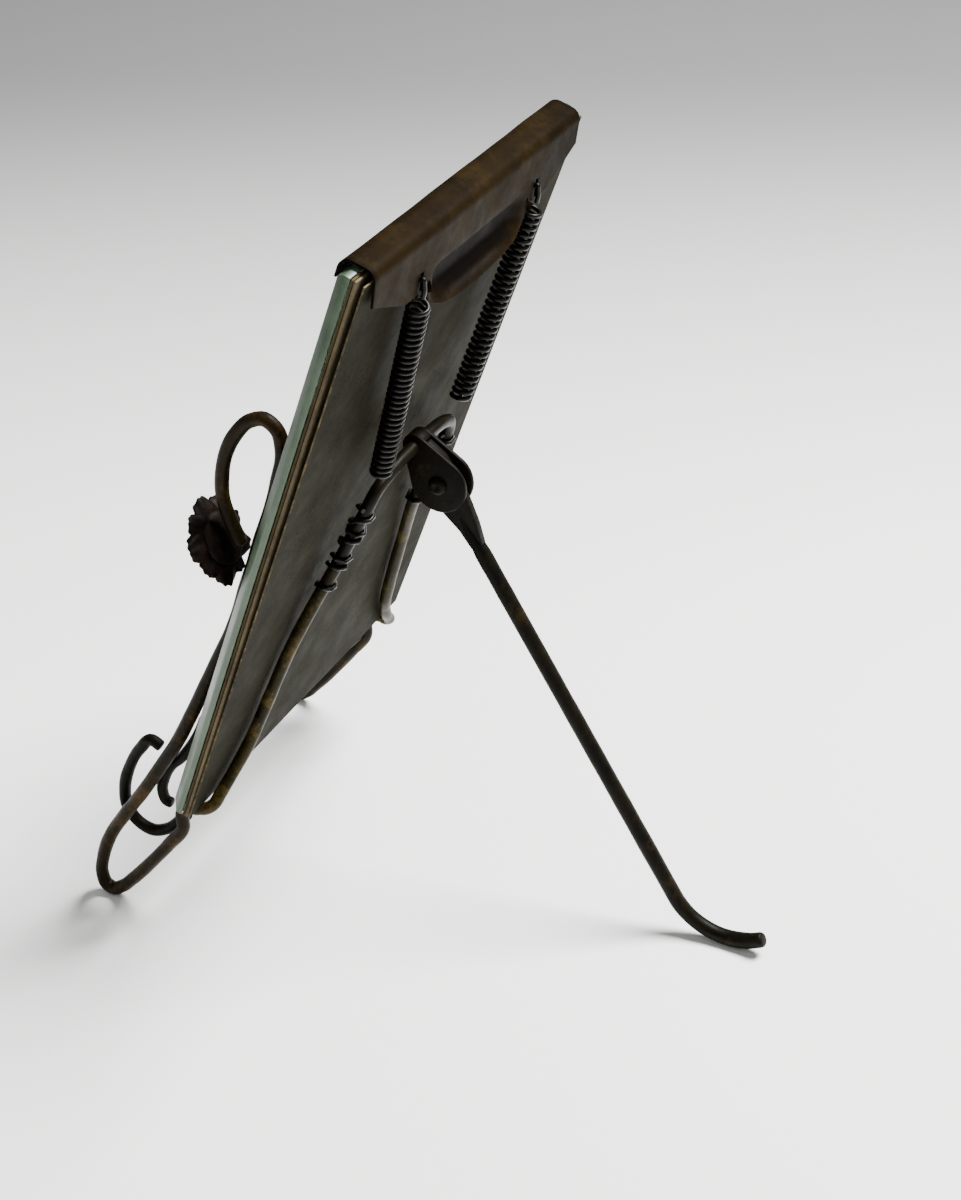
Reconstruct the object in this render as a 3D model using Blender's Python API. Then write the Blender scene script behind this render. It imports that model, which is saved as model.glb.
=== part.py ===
"""Photo easel stand: a bevelled glass plate held in bent ironwork, with a sprung top clip and a folding leg.

The stand's own frame is +Z up, with the table at Z 0, its front facing -Y and its left and right along X.
The glass leans back, so most pieces are modelled in a leaning frame, the picture plane: local X runs along
the bottom edge of the glass, local Y points out of its back, and local Z runs up the glass.
"""
import math

import bmesh
import bpy
from mathutils import Vector

# Driving sizes, in metres
LEAN = math.radians(19.0)
GLASS_WIDTH = 0.105
GLASS_HEIGHT = 0.150
GLASS_THICK = 0.0033
GLASS_BEVEL = 0.0019
GLASS_LIFT = 0.0369
FIT_GAP = 0.0003
CUT_REACH = 0.0100

STACK_GAP = 0.0002
PHOTO_CARD_THICK = 0.0005
BACKING_CARD_THICK = 0.0005
CARD_INSET = 0.0003
BACK_PLATE_THICK = 0.0004
BACK_PLATE_INSET = 0.0008
BACK_PLATE_SPREAD = 0.0012

SCROLL_RADIUS = 0.00160
SCROLL_INSET = 0.0065
SCROLL_DRAW_IN = 0.0038
SCROLL_DRAW_FROM = 0.0360
SCROLL_DRAW_TO = 0.0850
CRADLE_RADIUS = 0.00145
GLASS_HOOK_RADIUS = 0.00135
ROSETTE_RADIUS = 0.0102
ROSETTE_PETALS = 9
ROSETTE_BOSS_DEPTH = 0.0018
ROSETTE_TILT = math.radians(26.0)

BACK_ROD_RADIUS = 0.0015
CROSSBAR_HALF = 0.0190
CROSSBAR_HEIGHT = 0.0865
CROSSBAR_SAG = 0.0030
CROSSBAR_STANDOFF = 0.0046
BACK_FOOT_INSET = 0.0035

PIVOT_DROP = 0.0061
PIVOT_BEHIND = 0.0083
CHEEK_RADIUS = 0.0068
CHEEK_THICK = 0.0011
EYE_WALL = 0.0011
BLADE_THICK = 0.0020
RIVET_RADIUS = 0.0011
RIVET_HEAD_RADIUS = 0.0022
RIVET_HEAD_HEIGHT = 0.0011

LEG_RADIUS = 0.0019
LEG_SPLAY = math.radians(31.6)
LEG_TOE_RADIUS = 0.0160
LEG_TOE_LIFT = math.radians(28.0)
LEG_TOE_END = 0.0015

CLIP_LENGTH = 0.0980
CLIP_SHEET = 0.0005
CLIP_LIP = 0.0045
CLIP_LIP_ROOM = 0.0007
CLIP_BEND = 0.0022
CLIP_CREST_ROOM = 0.0010
CLIP_FLAP = 0.0125
CLIP_FLARE = 0.0020
CLIP_CORNER_RUN = 0.0150
CLIP_CORNER_RISE = 0.0055
CLIP_SLIT_HALF = 0.0009
CLIP_SLIT_HEIGHT = 0.0045
LOBE_HALF = 0.0240
LOBE_DROP = 0.0082
LOBE_FLARE = 0.0014

SPRING_WIRE = 0.00055
SPRING_RADIUS = 0.00205
SPRING_PITCH = 0.0016
SPRING_TOP_HALF = 0.0277
SPRING_BOTTOM_HALF = 0.0195
TAIL_TURNS = 2.5
TAIL_START = 0.0790
TAIL_END = 0.0600

# Places that follow from those sizes, in the picture plane
GLASS_FRONT = -GLASS_THICK
PHOTO_CARD_FRONT = STACK_GAP
BACKING_CARD_FRONT = PHOTO_CARD_FRONT + PHOTO_CARD_THICK + STACK_GAP
PLATE_FRONT_LOW = BACKING_CARD_FRONT + BACKING_CARD_THICK + STACK_GAP
PLATE_BACK_LOW = PLATE_FRONT_LOW + BACK_PLATE_THICK
PLATE_BACK_HIGH = PLATE_BACK_LOW + BACK_PLATE_SPREAD
SCROLL_X = GLASS_WIDTH / 2 - SCROLL_INSET
CRADLE_X = SCROLL_X - SCROLL_RADIUS - CRADLE_RADIUS - FIT_GAP
STEM_FRONT = GLASS_FRONT - FIT_GAP - SCROLL_RADIUS
FLAP_FRONT = PLATE_BACK_HIGH + FIT_GAP
CLIP_TOP = GLASS_HEIGHT + CLIP_CREST_ROOM
FLAP_BOTTOM = CLIP_TOP - CLIP_FLAP
CROSSBAR_BEHIND = PLATE_BACK_LOW + BACK_ROD_RADIUS + CROSSBAR_STANDOFF
PIVOT_HEIGHT = CROSSBAR_HEIGHT - PIVOT_DROP
PIVOT_DEPTH = CROSSBAR_BEHIND + PIVOT_BEHIND
CHEEK_INNER = BLADE_THICK / 2 + FIT_GAP
CHEEK_OUTER = CHEEK_INNER + CHEEK_THICK
EYE_RADIUS = BACK_ROD_RADIUS + FIT_GAP
ARM_BEHIND = PLATE_BACK_LOW + FIT_GAP + BACK_ROD_RADIUS + 0.0002
SPRING_BEHIND_HIGH = PLATE_BACK_HIGH + FIT_GAP + SPRING_RADIUS + SPRING_WIRE + 0.0004
SPRING_BEHIND_LOW = CROSSBAR_BEHIND


def picture_point(height, behind):
    """Return the stand's (y, z) of a point at a height up the glass and a distance behind its back face."""
    return (
        height * math.sin(LEAN) + behind * math.cos(LEAN),
        GLASS_LIFT + height * math.cos(LEAN) - behind * math.sin(LEAN),
    )


def plate_back(height):
    """Return how far behind the glass the tin plate's back face lies at a height."""
    return PLATE_BACK_LOW + BACK_PLATE_SPREAD * height / GLASS_HEIGHT


def clear_scene():
    """Remove whatever the scene holds."""
    for item in list(bpy.data.objects):
        bpy.data.objects.remove(item, do_unlink=True)


def material(name, colour, roughness, metallic):
    """Make a plain Principled material."""
    made = bpy.data.materials.new(name)
    made.use_nodes = True
    shader = made.node_tree.nodes["Principled BSDF"]
    shader.inputs["Base Color"].default_value = (*colour, 1.0)
    shader.inputs["Roughness"].default_value = roughness
    shader.inputs["Metallic"].default_value = metallic
    return made


def empty(name, location, parent=None, rotation=(0.0, 0.0, 0.0)):
    """Add an empty that carries other pieces."""
    made = bpy.data.objects.new(name, None)
    made.location = location
    made.rotation_euler = rotation
    made.parent = parent
    bpy.context.collection.objects.link(made)
    return made


def add_mesh(name, form, finish, parent):
    """Turn a bmesh into a named object with its material."""
    bmesh.ops.remove_doubles(form, verts=form.verts, dist=1e-7)
    bmesh.ops.recalc_face_normals(form, faces=form.faces)
    mesh = bpy.data.meshes.new(name)
    form.to_mesh(mesh)
    form.free()
    mesh.shade_smooth()
    mesh.set_sharp_from_angle(angle=math.radians(35.0))
    made = bpy.data.objects.new(name, mesh)
    made.parent = parent
    if finish:
        mesh.materials.append(finish)
    bpy.context.collection.objects.link(made)
    return made


def loft(rings, closed_loop=False):
    """Return a bmesh skin over rings of equal count, capped at both ends unless it closes on itself."""
    form = bmesh.new()
    rows = [[form.verts.new(point) for point in ring] for ring in rings]
    count = len(rows[0])
    spans = list(zip(rows, rows[1:]))
    if closed_loop:
        spans.append((rows[-1], rows[0]))
    for low, high in spans:
        for i in range(count):
            j = (i + 1) % count
            form.faces.new((low[i], low[j], high[j], high[i]))
    if not closed_loop:
        form.faces.new(rows[0])
        form.faces.new(rows[-1])
    return form


def extruded(outline, x_low, x_high):
    """Return a bmesh of a (y, z) outline carried along X."""
    return loft([[(x, y, z) for y, z in outline] for x in (x_low, x_high)])


def arc(centre, radius, start, end, steps):
    """Return points on an arc, with its angles in degrees."""
    angles = [math.radians(start + (end - start) * i / steps) for i in range(steps + 1)]
    return [(centre[0] + radius * math.cos(a), centre[1] + radius * math.sin(a)) for a in angles]


def smooth_path(points, steps):
    """Return a smooth curve through points, with a number of steps between each two of them."""
    knots = [Vector(point) for point in points]
    spans = [max((b - a).length, 1e-6) for a, b in zip(knots, knots[1:])]
    slopes = []
    for i, knot in enumerate(knots):
        if i == 0:
            slopes.append((knots[1] - knot) / spans[0])
        elif i == len(knots) - 1:
            slopes.append((knot - knots[i - 1]) / spans[-1])
        else:
            before = (knot - knots[i - 1]) / spans[i - 1]
            after = (knots[i + 1] - knot) / spans[i]
            weight = spans[i - 1] / (spans[i - 1] + spans[i])
            slopes.append(before * (1 - weight) + after * weight)
    path = []
    for i, span in enumerate(spans):
        for step in range(steps):
            t = step / steps
            path.append(
                knots[i] * (2 * t**3 - 3 * t**2 + 1)
                + slopes[i] * span * (t**3 - 2 * t**2 + t)
                + knots[i + 1] * (3 * t**2 - 2 * t**3)
                + slopes[i + 1] * span * (t**3 - t**2)
            )
    path.append(knots[-1])
    return path


def rod(name, path, radius, finish, parent, roundness=4):
    """Add a round rod of even thickness along a path."""
    curve = bpy.data.curves.new(name, "CURVE")
    curve.dimensions = "3D"
    curve.bevel_depth = radius
    curve.bevel_resolution = roundness
    curve.use_fill_caps = True
    spline = curve.splines.new("POLY")
    spline.points.add(len(path) - 1)
    for point, place in zip(spline.points, path):
        point.co = (*place, 1.0)
    curve.materials.append(finish)
    made = bpy.data.objects.new(name, curve)
    made.parent = parent
    bpy.context.collection.objects.link(made)
    return made


def cutter(name, form, parent):
    """Add a shape that only cuts or joins others."""
    made = add_mesh(name, form, None, parent)
    made.hide_render = True
    made.display_type = "WIRE"
    return made


def boolean(target, tool, operation):
    """Cut a tool from a target, or join it to the target."""
    change = target.modifiers.new(f"{operation.lower()}_{tool.name}", "BOOLEAN")
    change.operation = operation
    change.solver = "EXACT"
    change.object = tool


def disc_form(centre, radius, x_low, x_high, steps=24):
    """Return a cylinder along X, centred on a (y, z) point."""
    return extruded(arc(centre, radius, 0.0, 360.0 * (steps - 1) / steps, steps - 1), x_low, x_high)


def rectangle(half_width, low, high, depth):
    """Return a ring of four corners in the picture plane at one depth."""
    corners = ((-half_width, low), (half_width, low), (half_width, high), (-half_width, high))
    return [(x, depth, z) for x, z in corners]


def build_glass(finish, plane):
    """Glass plate with a bevel round its front."""
    half = GLASS_WIDTH / 2
    rings = [
        rectangle(half - GLASS_BEVEL, GLASS_BEVEL, GLASS_HEIGHT - GLASS_BEVEL, GLASS_FRONT),
        rectangle(half, 0.0, GLASS_HEIGHT, GLASS_FRONT + GLASS_BEVEL),
        rectangle(half, 0.0, GLASS_HEIGHT, 0.0),
    ]
    return add_mesh("glass_plate", loft(rings), finish, plane)


def build_card(name, front, thickness, finish, plane):
    """Flat card a little smaller than the glass."""
    half = GLASS_WIDTH / 2 - CARD_INSET
    high = GLASS_HEIGHT - CARD_INSET
    rings = [rectangle(half, 0.0, high, depth) for depth in (front, front + thickness)]
    return add_mesh(name, loft(rings), finish, plane)


def build_back_plate(finish, plane):
    """Tin plate that stands a little further off the cards at its top."""
    half = GLASS_WIDTH / 2 - BACK_PLATE_INSET
    high = GLASS_HEIGHT - BACK_PLATE_INSET
    rings = []
    for offset in (-BACK_PLATE_THICK, 0.0):
        ring = rectangle(half, 0.0, high, 0.0)
        rings.append([(x, plate_back(z) + offset, z) for x, _, z in ring])
    return add_mesh("back_plate", loft(rings), finish, plane)


def clip_outline():
    """Return the clip's folded sheet as a closed (y, z) outline, outside first."""
    lip_front = GLASS_FRONT - CLIP_LIP_ROOM
    lip_low = CLIP_TOP - CLIP_LIP
    flap_low_front = FLAP_FRONT + CLIP_FLARE
    inner = [(lip_front, lip_low)]
    inner += arc((lip_front + CLIP_BEND, CLIP_TOP - CLIP_BEND), CLIP_BEND, 180.0, 90.0, 5)
    inner += arc((FLAP_FRONT - CLIP_BEND, CLIP_TOP - CLIP_BEND), CLIP_BEND, 90.0, 0.0, 5)
    inner.append((flap_low_front, FLAP_BOTTOM))
    outer_bend = CLIP_BEND + CLIP_SHEET
    outer = [(lip_front - CLIP_SHEET, lip_low)]
    outer += arc((lip_front + CLIP_BEND, CLIP_TOP - CLIP_BEND), outer_bend, 180.0, 90.0, 5)
    outer += arc((FLAP_FRONT - CLIP_BEND, CLIP_TOP - CLIP_BEND), outer_bend, 90.0, 0.0, 5)
    outer.append((flap_low_front + CLIP_SHEET, FLAP_BOTTOM))
    return outer + inner[::-1]


def build_clip(finish, plane):
    """Sheet clip over the top edges, with a thumb lobe and two slits for the spring hooks."""
    half = CLIP_LENGTH / 2
    clip = add_mesh("top_clip", extruded(clip_outline(), -half, half), finish, plane)
    lobe_front = FLAP_FRONT + CLIP_FLARE
    lobe_centre = FLAP_BOTTOM + 0.0004
    lobe = []
    for a in range(0, 181, 15):
        turn = math.radians(a)
        lobe.append((LOBE_HALF * math.cos(turn), lobe_centre - LOBE_DROP * math.sin(turn) ** 0.6))
    slope = LOBE_FLARE / LOBE_DROP
    rings = [
        [(x, depth + slope * (lobe_centre - z), z) for x, z in lobe]
        for depth in (lobe_front, lobe_front + CLIP_SHEET)
    ]
    boolean(clip, cutter("lobe_form", loft(rings), plane), "UNION")
    for side in (-1, 1):
        centre = side * SPRING_TOP_HALF
        low, high = FLAP_BOTTOM - 0.001, FLAP_BOTTOM + CLIP_SLIT_HEIGHT
        slit = [
            (FLAP_FRONT - 0.001, low), (FLAP_FRONT + 0.004, low),
            (FLAP_FRONT + 0.004, high), (FLAP_FRONT - 0.001, high),
        ]
        form = extruded(slit, centre - CLIP_SLIT_HALF, centre + CLIP_SLIT_HALF)
        boolean(clip, cutter(f"slit_form_{side + 1}", form, plane), "DIFFERENCE")
        spare = 0.001
        extra = spare * CLIP_CORNER_RUN / CLIP_CORNER_RISE
        corner = [
            (side * (half - CLIP_CORNER_RUN - extra), FLAP_BOTTOM - spare),
            (side * (half + extra), FLAP_BOTTOM + CLIP_CORNER_RISE + spare),
            (side * (half + extra), FLAP_BOTTOM - spare),
        ]
        rings = [[(x, depth, z) for x, z in corner] for depth in (FLAP_FRONT - 0.001, FLAP_FRONT + 0.004)]
        boolean(clip, cutter(f"corner_form_{side + 1}", loft(rings), plane), "DIFFERENCE")
    return clip


def back_rod_arm(side):
    """Return the path of one arm of the back rod, from its hook under the glass up to the crossbar's end."""
    near = ARM_BEHIND
    top = CROSSBAR_HEIGHT - CROSSBAR_SAG
    foot = SCROLL_X - BACK_FOOT_INSET
    points = [
        (SCROLL_X, near - 0.0038, -0.0033), (SCROLL_X - 0.0001, near - 0.0027, -0.0023),
        (SCROLL_X - 0.0008, near - 0.0013, -0.0018), (foot + 0.0018, near - 0.0001, -0.0003),
        (foot - 0.0004, near, 0.0020), (foot - 0.0038, near, 0.0058),
        (CROSSBAR_HALF + 0.0152, near + 0.0001, 0.0130), (CROSSBAR_HALF + 0.0127, near + 0.0001, 0.0220),
        (CROSSBAR_HALF + 0.0089, near + 0.0003, 0.0400), (CROSSBAR_HALF + 0.0048, near + 0.0010, 0.0520),
        (CROSSBAR_HALF + 0.0021, near + 0.0020, 0.0615),
        (CROSSBAR_HALF + 0.0010, CROSSBAR_BEHIND - 0.0011, 0.0710),
        (CROSSBAR_HALF + 0.0008, CROSSBAR_BEHIND - 0.0001, top - 0.0045),
        (CROSSBAR_HALF - 0.0008, CROSSBAR_BEHIND, top - 0.0008),
    ]
    return [(side * x, y, z) for x, y, z in points]


def build_back_rod(finish, plane):
    """Rod bent to an arch behind the plate, with a crossbar that carries the hinge."""
    middle = [
        (side * share * CROSSBAR_HALF, CROSSBAR_BEHIND, CROSSBAR_HEIGHT - CROSSBAR_SAG * share**2)
        for side, share in ((1, 0.75), (1, 0.16), (-1, 0.16), (-1, 0.75))
    ]
    points = back_rod_arm(1) + middle + back_rod_arm(-1)[::-1]
    return rod("back_rod", smooth_path(points, 3), BACK_ROD_RADIUS, finish, plane, roundness=3)


def scroll_points():
    """Return one front scroll's path in (y, z): crozier tip, stem down the glass, foot loop, end under it."""
    crozier = [
        (0.0710, -0.0090), (0.0729, -0.0107), (0.0761, -0.0136), (0.0801, -0.0162), (0.0847, -0.0176),
        (0.0906, -0.0182), (0.0963, -0.0173), (0.1011, -0.0151), (0.1033, -0.0121), (0.1024, -0.0088),
        (0.0990, -0.0067),
    ]
    stem = [(0.0900, STEM_FRONT - 0.0002), (0.0750, STEM_FRONT), (0.0600, STEM_FRONT), (0.0500, STEM_FRONT)]
    sweep = [
        (0.0352, -0.0065), (0.0210, -0.0078), (0.0118, -0.0089), (0.0031, -0.0107), (-0.0068, -0.0129),
        (-0.0175, -0.0158),
    ]
    upper = [picture_point(height, behind) for height, behind in crozier + stem + sweep]
    foot_low = SCROLL_RADIUS
    loop = [
        (-0.0251, GLASS_LIFT - 0.0186), (-0.0280, GLASS_LIFT - 0.0260), (-0.0289, foot_low + 0.0034),
        (-0.0280, foot_low + 0.0007), (-0.0260, foot_low), (-0.0235, foot_low + 0.0014),
        (-0.0198, foot_low + 0.0052), (-0.0136, GLASS_LIFT - 0.0226), (-0.0084, GLASS_LIFT - 0.0158),
        (-0.0042, GLASS_LIFT - 0.0098),
    ]
    end = [picture_point(-0.0052, ARM_BEHIND - 0.0057), picture_point(-0.0036, ARM_BEHIND - 0.0041)]
    return upper + loop + end


def scroll_half(height):
    """Return how far from the middle a front scroll stands at a height above the table."""
    share = (height - SCROLL_DRAW_FROM) / (SCROLL_DRAW_TO - SCROLL_DRAW_FROM)
    return SCROLL_X - SCROLL_DRAW_IN * min(max(share, 0.0), 1.0)


def build_scroll(side, name, finish, stand):
    """Front scroll rod: crozier, stem, foot loop and an inner end that meets the back rod's hook."""
    points = [(side * scroll_half(z), y, z) for y, z in scroll_points()]
    return rod(name, smooth_path(points, 3), SCROLL_RADIUS, finish, stand, roundness=3)


def build_cradle(side, name, finish, stand):
    """Small open scroll beside the foot loop, whose end comes back under the glass."""
    lift = GLASS_LIFT
    path = [
        (-0.0105, lift + 0.0095), (-0.0130, lift + 0.0107), (-0.0165, lift + 0.0072),
        (-0.0200, lift + 0.0010), (-0.0220, lift - 0.0055), (-0.0219, lift - 0.0110),
        (-0.0193, lift - 0.0148), (-0.0153, lift - 0.0162), (-0.0110, lift - 0.0145),
        (-0.0072, lift - 0.0108), (-0.0048, lift - 0.0080),
    ]
    points = [(side * CRADLE_X, y, z) for y, z in path]
    return rod(name, smooth_path(points, 3), CRADLE_RADIUS, finish, stand, roundness=3)


def build_glass_hook(side, name, finish, plane):
    """Short hook beside the stem that turns in under the glass."""
    back = GLASS_FRONT - FIT_GAP - GLASS_HOOK_RADIUS
    path = [
        (back, 0.0210), (back - 0.0003, 0.0160), (-0.0062, 0.0105), (-0.0077, 0.0056), (-0.0094, 0.0020),
        (-0.0101, -0.0026), (-0.0096, -0.0070), (-0.0080, -0.0090), (-0.0063, -0.0088),
    ]
    points = [(side * CRADLE_X, y, z) for y, z in path]
    return rod(name, smooth_path(points, 3), GLASS_HOOK_RADIUS, finish, plane, roundness=3)


def rosette_edge(turn, share):
    """Return the rosette's outline radius at an angle, scalloped more towards its rim."""
    petal = abs(math.cos(turn * ROSETTE_PETALS / 2))
    return ROSETTE_RADIUS * share * (1 - 0.20 * share * (1 - petal))


def build_rosette(side, name, finish, stand):
    """Cast flower behind whose lower half the crozier's tip lies; it faces forward and down."""
    count = ROSETTE_PETALS * 6
    front = [(0.22, 0.0024), (0.45, 0.0008), (0.75, 0.0012), (1.00, 0.0019)]
    back = [(1.00, 0.0010), (0.72, -0.0003), (0.40, -0.0006)]
    rings = []
    for share, height in front + back:
        ring = []
        for i in range(count):
            turn = 2 * math.pi * i / count
            reach = rosette_edge(turn, share)
            ring.append((side * reach * math.cos(turn), reach * math.sin(turn), height))
        rings.append(ring)
    rings.append([(0.4 * x, 0.4 * y, -ROSETTE_BOSS_DEPTH) for x, y, _ in rings[-1]])
    made = add_mesh(name, loft(rings), finish, stand)
    tip_y, tip_z = picture_point(0.0697, -0.0137)
    made.location = (side * (SCROLL_X - SCROLL_DRAW_IN), tip_y, tip_z)
    made.rotation_euler = (math.pi / 2 + ROSETTE_TILT, 0.0, 0.0)
    return made


def cheek_outline():
    """Return the yoke's side as a (y, z) outline round the rivet and the crossbar, with straight flanks."""
    pivot = Vector((PIVOT_DEPTH, PIVOT_HEIGHT))
    eye = Vector((CROSSBAR_BEHIND, CROSSBAR_HEIGHT))
    eye_outer = EYE_RADIUS + EYE_WALL
    reach = (eye - pivot).length
    heading = math.degrees(math.atan2(eye.y - pivot.y, eye.x - pivot.x))
    flank = math.degrees(math.acos((CHEEK_RADIUS - eye_outer) / reach))
    outline = arc(pivot, CHEEK_RADIUS, heading + flank, heading + 360.0 - flank, 20)
    outline += arc(eye, eye_outer, heading - flank, heading + flank, 10)
    return outline


def build_yoke(finish, plane):
    """Hinge yoke: two round cheeks joined by a wrap over the front of the crossbar."""
    yoke = add_mesh("hinge_yoke", extruded(cheek_outline(), -CHEEK_OUTER, CHEEK_OUTER), finish, plane)
    eye = Vector((CROSSBAR_BEHIND, CROSSBAR_HEIGHT))
    pivot = Vector((PIVOT_DEPTH, PIVOT_HEIGHT))
    down = (pivot - eye).normalized()
    across = Vector((-down.y, down.x))
    span = 0.020
    corners = [eye - across * span, eye + across * span, eye + across * span + down * span,
               eye - across * span + down * span]
    slot = extruded([tuple(corner) for corner in corners], -CHEEK_INNER, CHEEK_INNER)
    boolean(yoke, cutter("slot_form", slot, plane), "DIFFERENCE")
    eye_hole = disc_form(tuple(eye), EYE_RADIUS, -CUT_REACH, CUT_REACH)
    boolean(yoke, cutter("eye_form", eye_hole, plane), "DIFFERENCE")
    rivet_hole = disc_form(tuple(pivot), RIVET_RADIUS + FIT_GAP, -CUT_REACH, CUT_REACH)
    boolean(yoke, cutter("cheek_hole_form", rivet_hole, plane), "DIFFERENCE")
    return yoke


def build_rivet(finish, plane):
    """Rivet through both cheeks and the leg's blade, with a domed head at each end."""
    head_foot = CHEEK_OUTER + FIT_GAP
    profile = [(head_foot, RIVET_RADIUS), (head_foot, RIVET_HEAD_RADIUS)]
    for a in (22.5, 45.0, 67.5):
        turn = math.radians(a)
        profile.append((head_foot + RIVET_HEAD_HEIGHT * math.sin(turn), RIVET_HEAD_RADIUS * math.cos(turn)))
    whole = [(-x, r) for x, r in profile[::-1]] + profile
    rings = []
    for x, radius in whole:
        rings.append([(x, y, z) for y, z in arc((PIVOT_DEPTH, PIVOT_HEIGHT), radius, 0.0, 345.0, 23)])
    return add_mesh("rivet", loft(rings), finish, plane)


def leg_path():
    """Return the leg's centreline in (y, z) from the pivot: straight, then a toe curved up off the table."""
    pivot_y, pivot_z = picture_point(PIVOT_HEIGHT, PIVOT_DEPTH)
    fall = math.pi / 2 - LEG_SPLAY
    bend_z = LEG_RADIUS + LEG_TOE_RADIUS * (1 - math.cos(fall))
    length = (pivot_z - bend_z) / math.cos(LEG_SPLAY)
    heading = Vector((math.sin(LEG_SPLAY), -math.cos(LEG_SPLAY)))
    start = heading * 0.0113
    bend = heading * length
    centre = bend + Vector((-heading.y, heading.x)) * LEG_TOE_RADIUS
    path = [start + (bend - start) * i / 4 for i in range(4)]
    first = -90.0 - math.degrees(fall)
    last = -90.0 + math.degrees(LEG_TOE_LIFT)
    path += [Vector(point) for point in arc(tuple(centre), LEG_TOE_RADIUS, first, last, 12)]
    exit_heading = Vector((math.cos(LEG_TOE_LIFT), math.sin(LEG_TOE_LIFT)))
    path.append(path[-1] + exit_heading * LEG_TOE_END)
    return path


def blade_outline():
    """Return the leg's flattened head in its own (up, back) axes round the rivet, with its stop horn."""
    reach = math.hypot(PIVOT_DROP, PIVOT_BEHIND)
    heading = math.atan2(PIVOT_BEHIND, PIVOT_DROP)
    off = reach * math.sin(LEAN + LEG_SPLAY - heading)
    up = reach * math.cos(LEAN + LEG_SPLAY - heading)
    clear = BACK_ROD_RADIUS + FIT_GAP + 0.0001
    hollow = [(up + y, off + z) for y, z in arc((0.0, 0.0), clear, 215.0, 101.0, 7)]
    front = [
        (-0.0170, -0.0016), (-0.0120, -0.0021), (-0.0060, -0.0038), (-0.0010, -0.0044), (0.0035, -0.0038),
    ]
    back = [
        (up - 0.0005, off + clear + 0.0010), (0.0055, 0.0041), (0.0010, 0.0046), (-0.0060, 0.0040),
        (-0.0120, 0.0030), (-0.0170, 0.0016),
    ]
    return front + hollow + back


def build_leg(finish, pivot):
    """Leg rod with its flattened, drilled head; the origin is on the rivet."""
    path = [(0.0, y, z) for y, z in leg_path()]
    up = Vector((-math.sin(LEG_SPLAY), math.cos(LEG_SPLAY)))
    back = Vector((math.cos(LEG_SPLAY), math.sin(LEG_SPLAY)))
    outline = [tuple(up * a + back * b) for a, b in blade_outline()]
    head = extruded(outline, -BLADE_THICK / 2, BLADE_THICK / 2)
    leg = add_mesh("leg", head, finish, pivot)
    shank = rod("shank_form", path, LEG_RADIUS, finish, pivot)
    shank.hide_render = True
    shank.display_type = "WIRE"
    boolean(leg, as_mesh(shank), "UNION")
    hole = disc_form((0.0, 0.0), RIVET_RADIUS + FIT_GAP, -CUT_REACH, CUT_REACH)
    boolean(leg, cutter("blade_hole_form", hole, pivot), "DIFFERENCE")
    return leg


def as_mesh(curve_object):
    """Replace a curve object with its mesh, so that a Boolean can use it."""
    bpy.context.view_layer.update()
    mesh = bpy.data.meshes.new_from_object(curve_object)
    name, parent = curve_object.name, curve_object.parent
    bpy.data.objects.remove(curve_object)
    form = bmesh.new()
    form.from_mesh(mesh)
    return cutter(name, form, parent)


def build_spring(side, name, finish, plane):
    """Extension spring from the crossbar's end up to the clip's ear."""
    low = Vector((side * SPRING_BOTTOM_HALF, SPRING_BEHIND_LOW, CROSSBAR_HEIGHT + 0.0022))
    high = Vector((side * SPRING_TOP_HALF, SPRING_BEHIND_HIGH, FLAP_BOTTOM - 0.0022))
    along = (high - low).normalized()
    first = along.cross(Vector((0.0, 1.0, 0.0))).normalized()
    second = along.cross(first)
    turns = (high - low).length / SPRING_PITCH
    steps = round(turns * 8)
    path = []
    for i in range(steps + 1):
        turn = 2 * math.pi * turns * i / steps
        path.append(low + (high - low) * i / steps
                    + (first * math.cos(turn) + second * math.sin(turn)) * SPRING_RADIUS)
    return rod(name, path, SPRING_WIRE, finish, plane, roundness=1)


def build_spring_hook(side, name, finish, plane):
    """Upper end of a spring's wire, hooked through the slit of the clip's ear."""
    x = side * SPRING_TOP_HALF
    start = FLAP_BOTTOM - 0.0005
    crossing = FLAP_BOTTOM + CLIP_SLIT_HEIGHT - FIT_GAP - SPRING_WIRE - 0.0003
    inside = FLAP_FRONT + FIT_GAP + SPRING_WIRE + 0.0001
    path = [
        (x, SPRING_BEHIND_HIGH + 0.0004, start), (x, SPRING_BEHIND_HIGH + 0.0002, start + 0.0018),
        (x, SPRING_BEHIND_HIGH - 0.0002, crossing - 0.0010), (x, inside + 0.0014, crossing),
        (x, inside + 0.0002, crossing - 0.0008),
    ]
    return rod(name, smooth_path(path, 3), SPRING_WIRE, finish, plane, roundness=1)


def build_spring_tail(side, name, finish, plane):
    """Lower end of a spring's wire, wound round the arm of the back rod."""
    arm = [point for point in smooth_path(back_rod_arm(side), 12) if TAIL_END <= point.z <= TAIL_START]
    radius = BACK_ROD_RADIUS + FIT_GAP + SPRING_WIRE + 0.0001
    path = []
    for i, point in enumerate(arm):
        along = (arm[min(i + 1, len(arm) - 1)] - arm[max(i - 1, 0)]).normalized()
        first = along.cross(Vector((0.0, 1.0, 0.0))).normalized()
        second = along.cross(first)
        turn = 2 * math.pi * TAIL_TURNS * i / (len(arm) - 1)
        path.append(point + (first * math.cos(turn) + second * math.sin(turn)) * radius)
    return rod(name, path, SPRING_WIRE, finish, plane, roundness=1)


def stand_on_origin(stand):
    """Move the whole stand so that the middle of its bounding box is over the origin."""
    bpy.context.view_layer.update()
    shapes = bpy.context.evaluated_depsgraph_get()
    reach = []
    for item in bpy.data.objects:
        if item.type in {"MESH", "CURVE"} and not item.hide_render:
            shape = item.evaluated_get(shapes)
            mesh = shape.to_mesh()
            reach += [(shape.matrix_world @ vertex.co).y for vertex in mesh.vertices]
            shape.to_mesh_clear()
    stand.location.y = -(min(reach) + max(reach)) / 2


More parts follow.
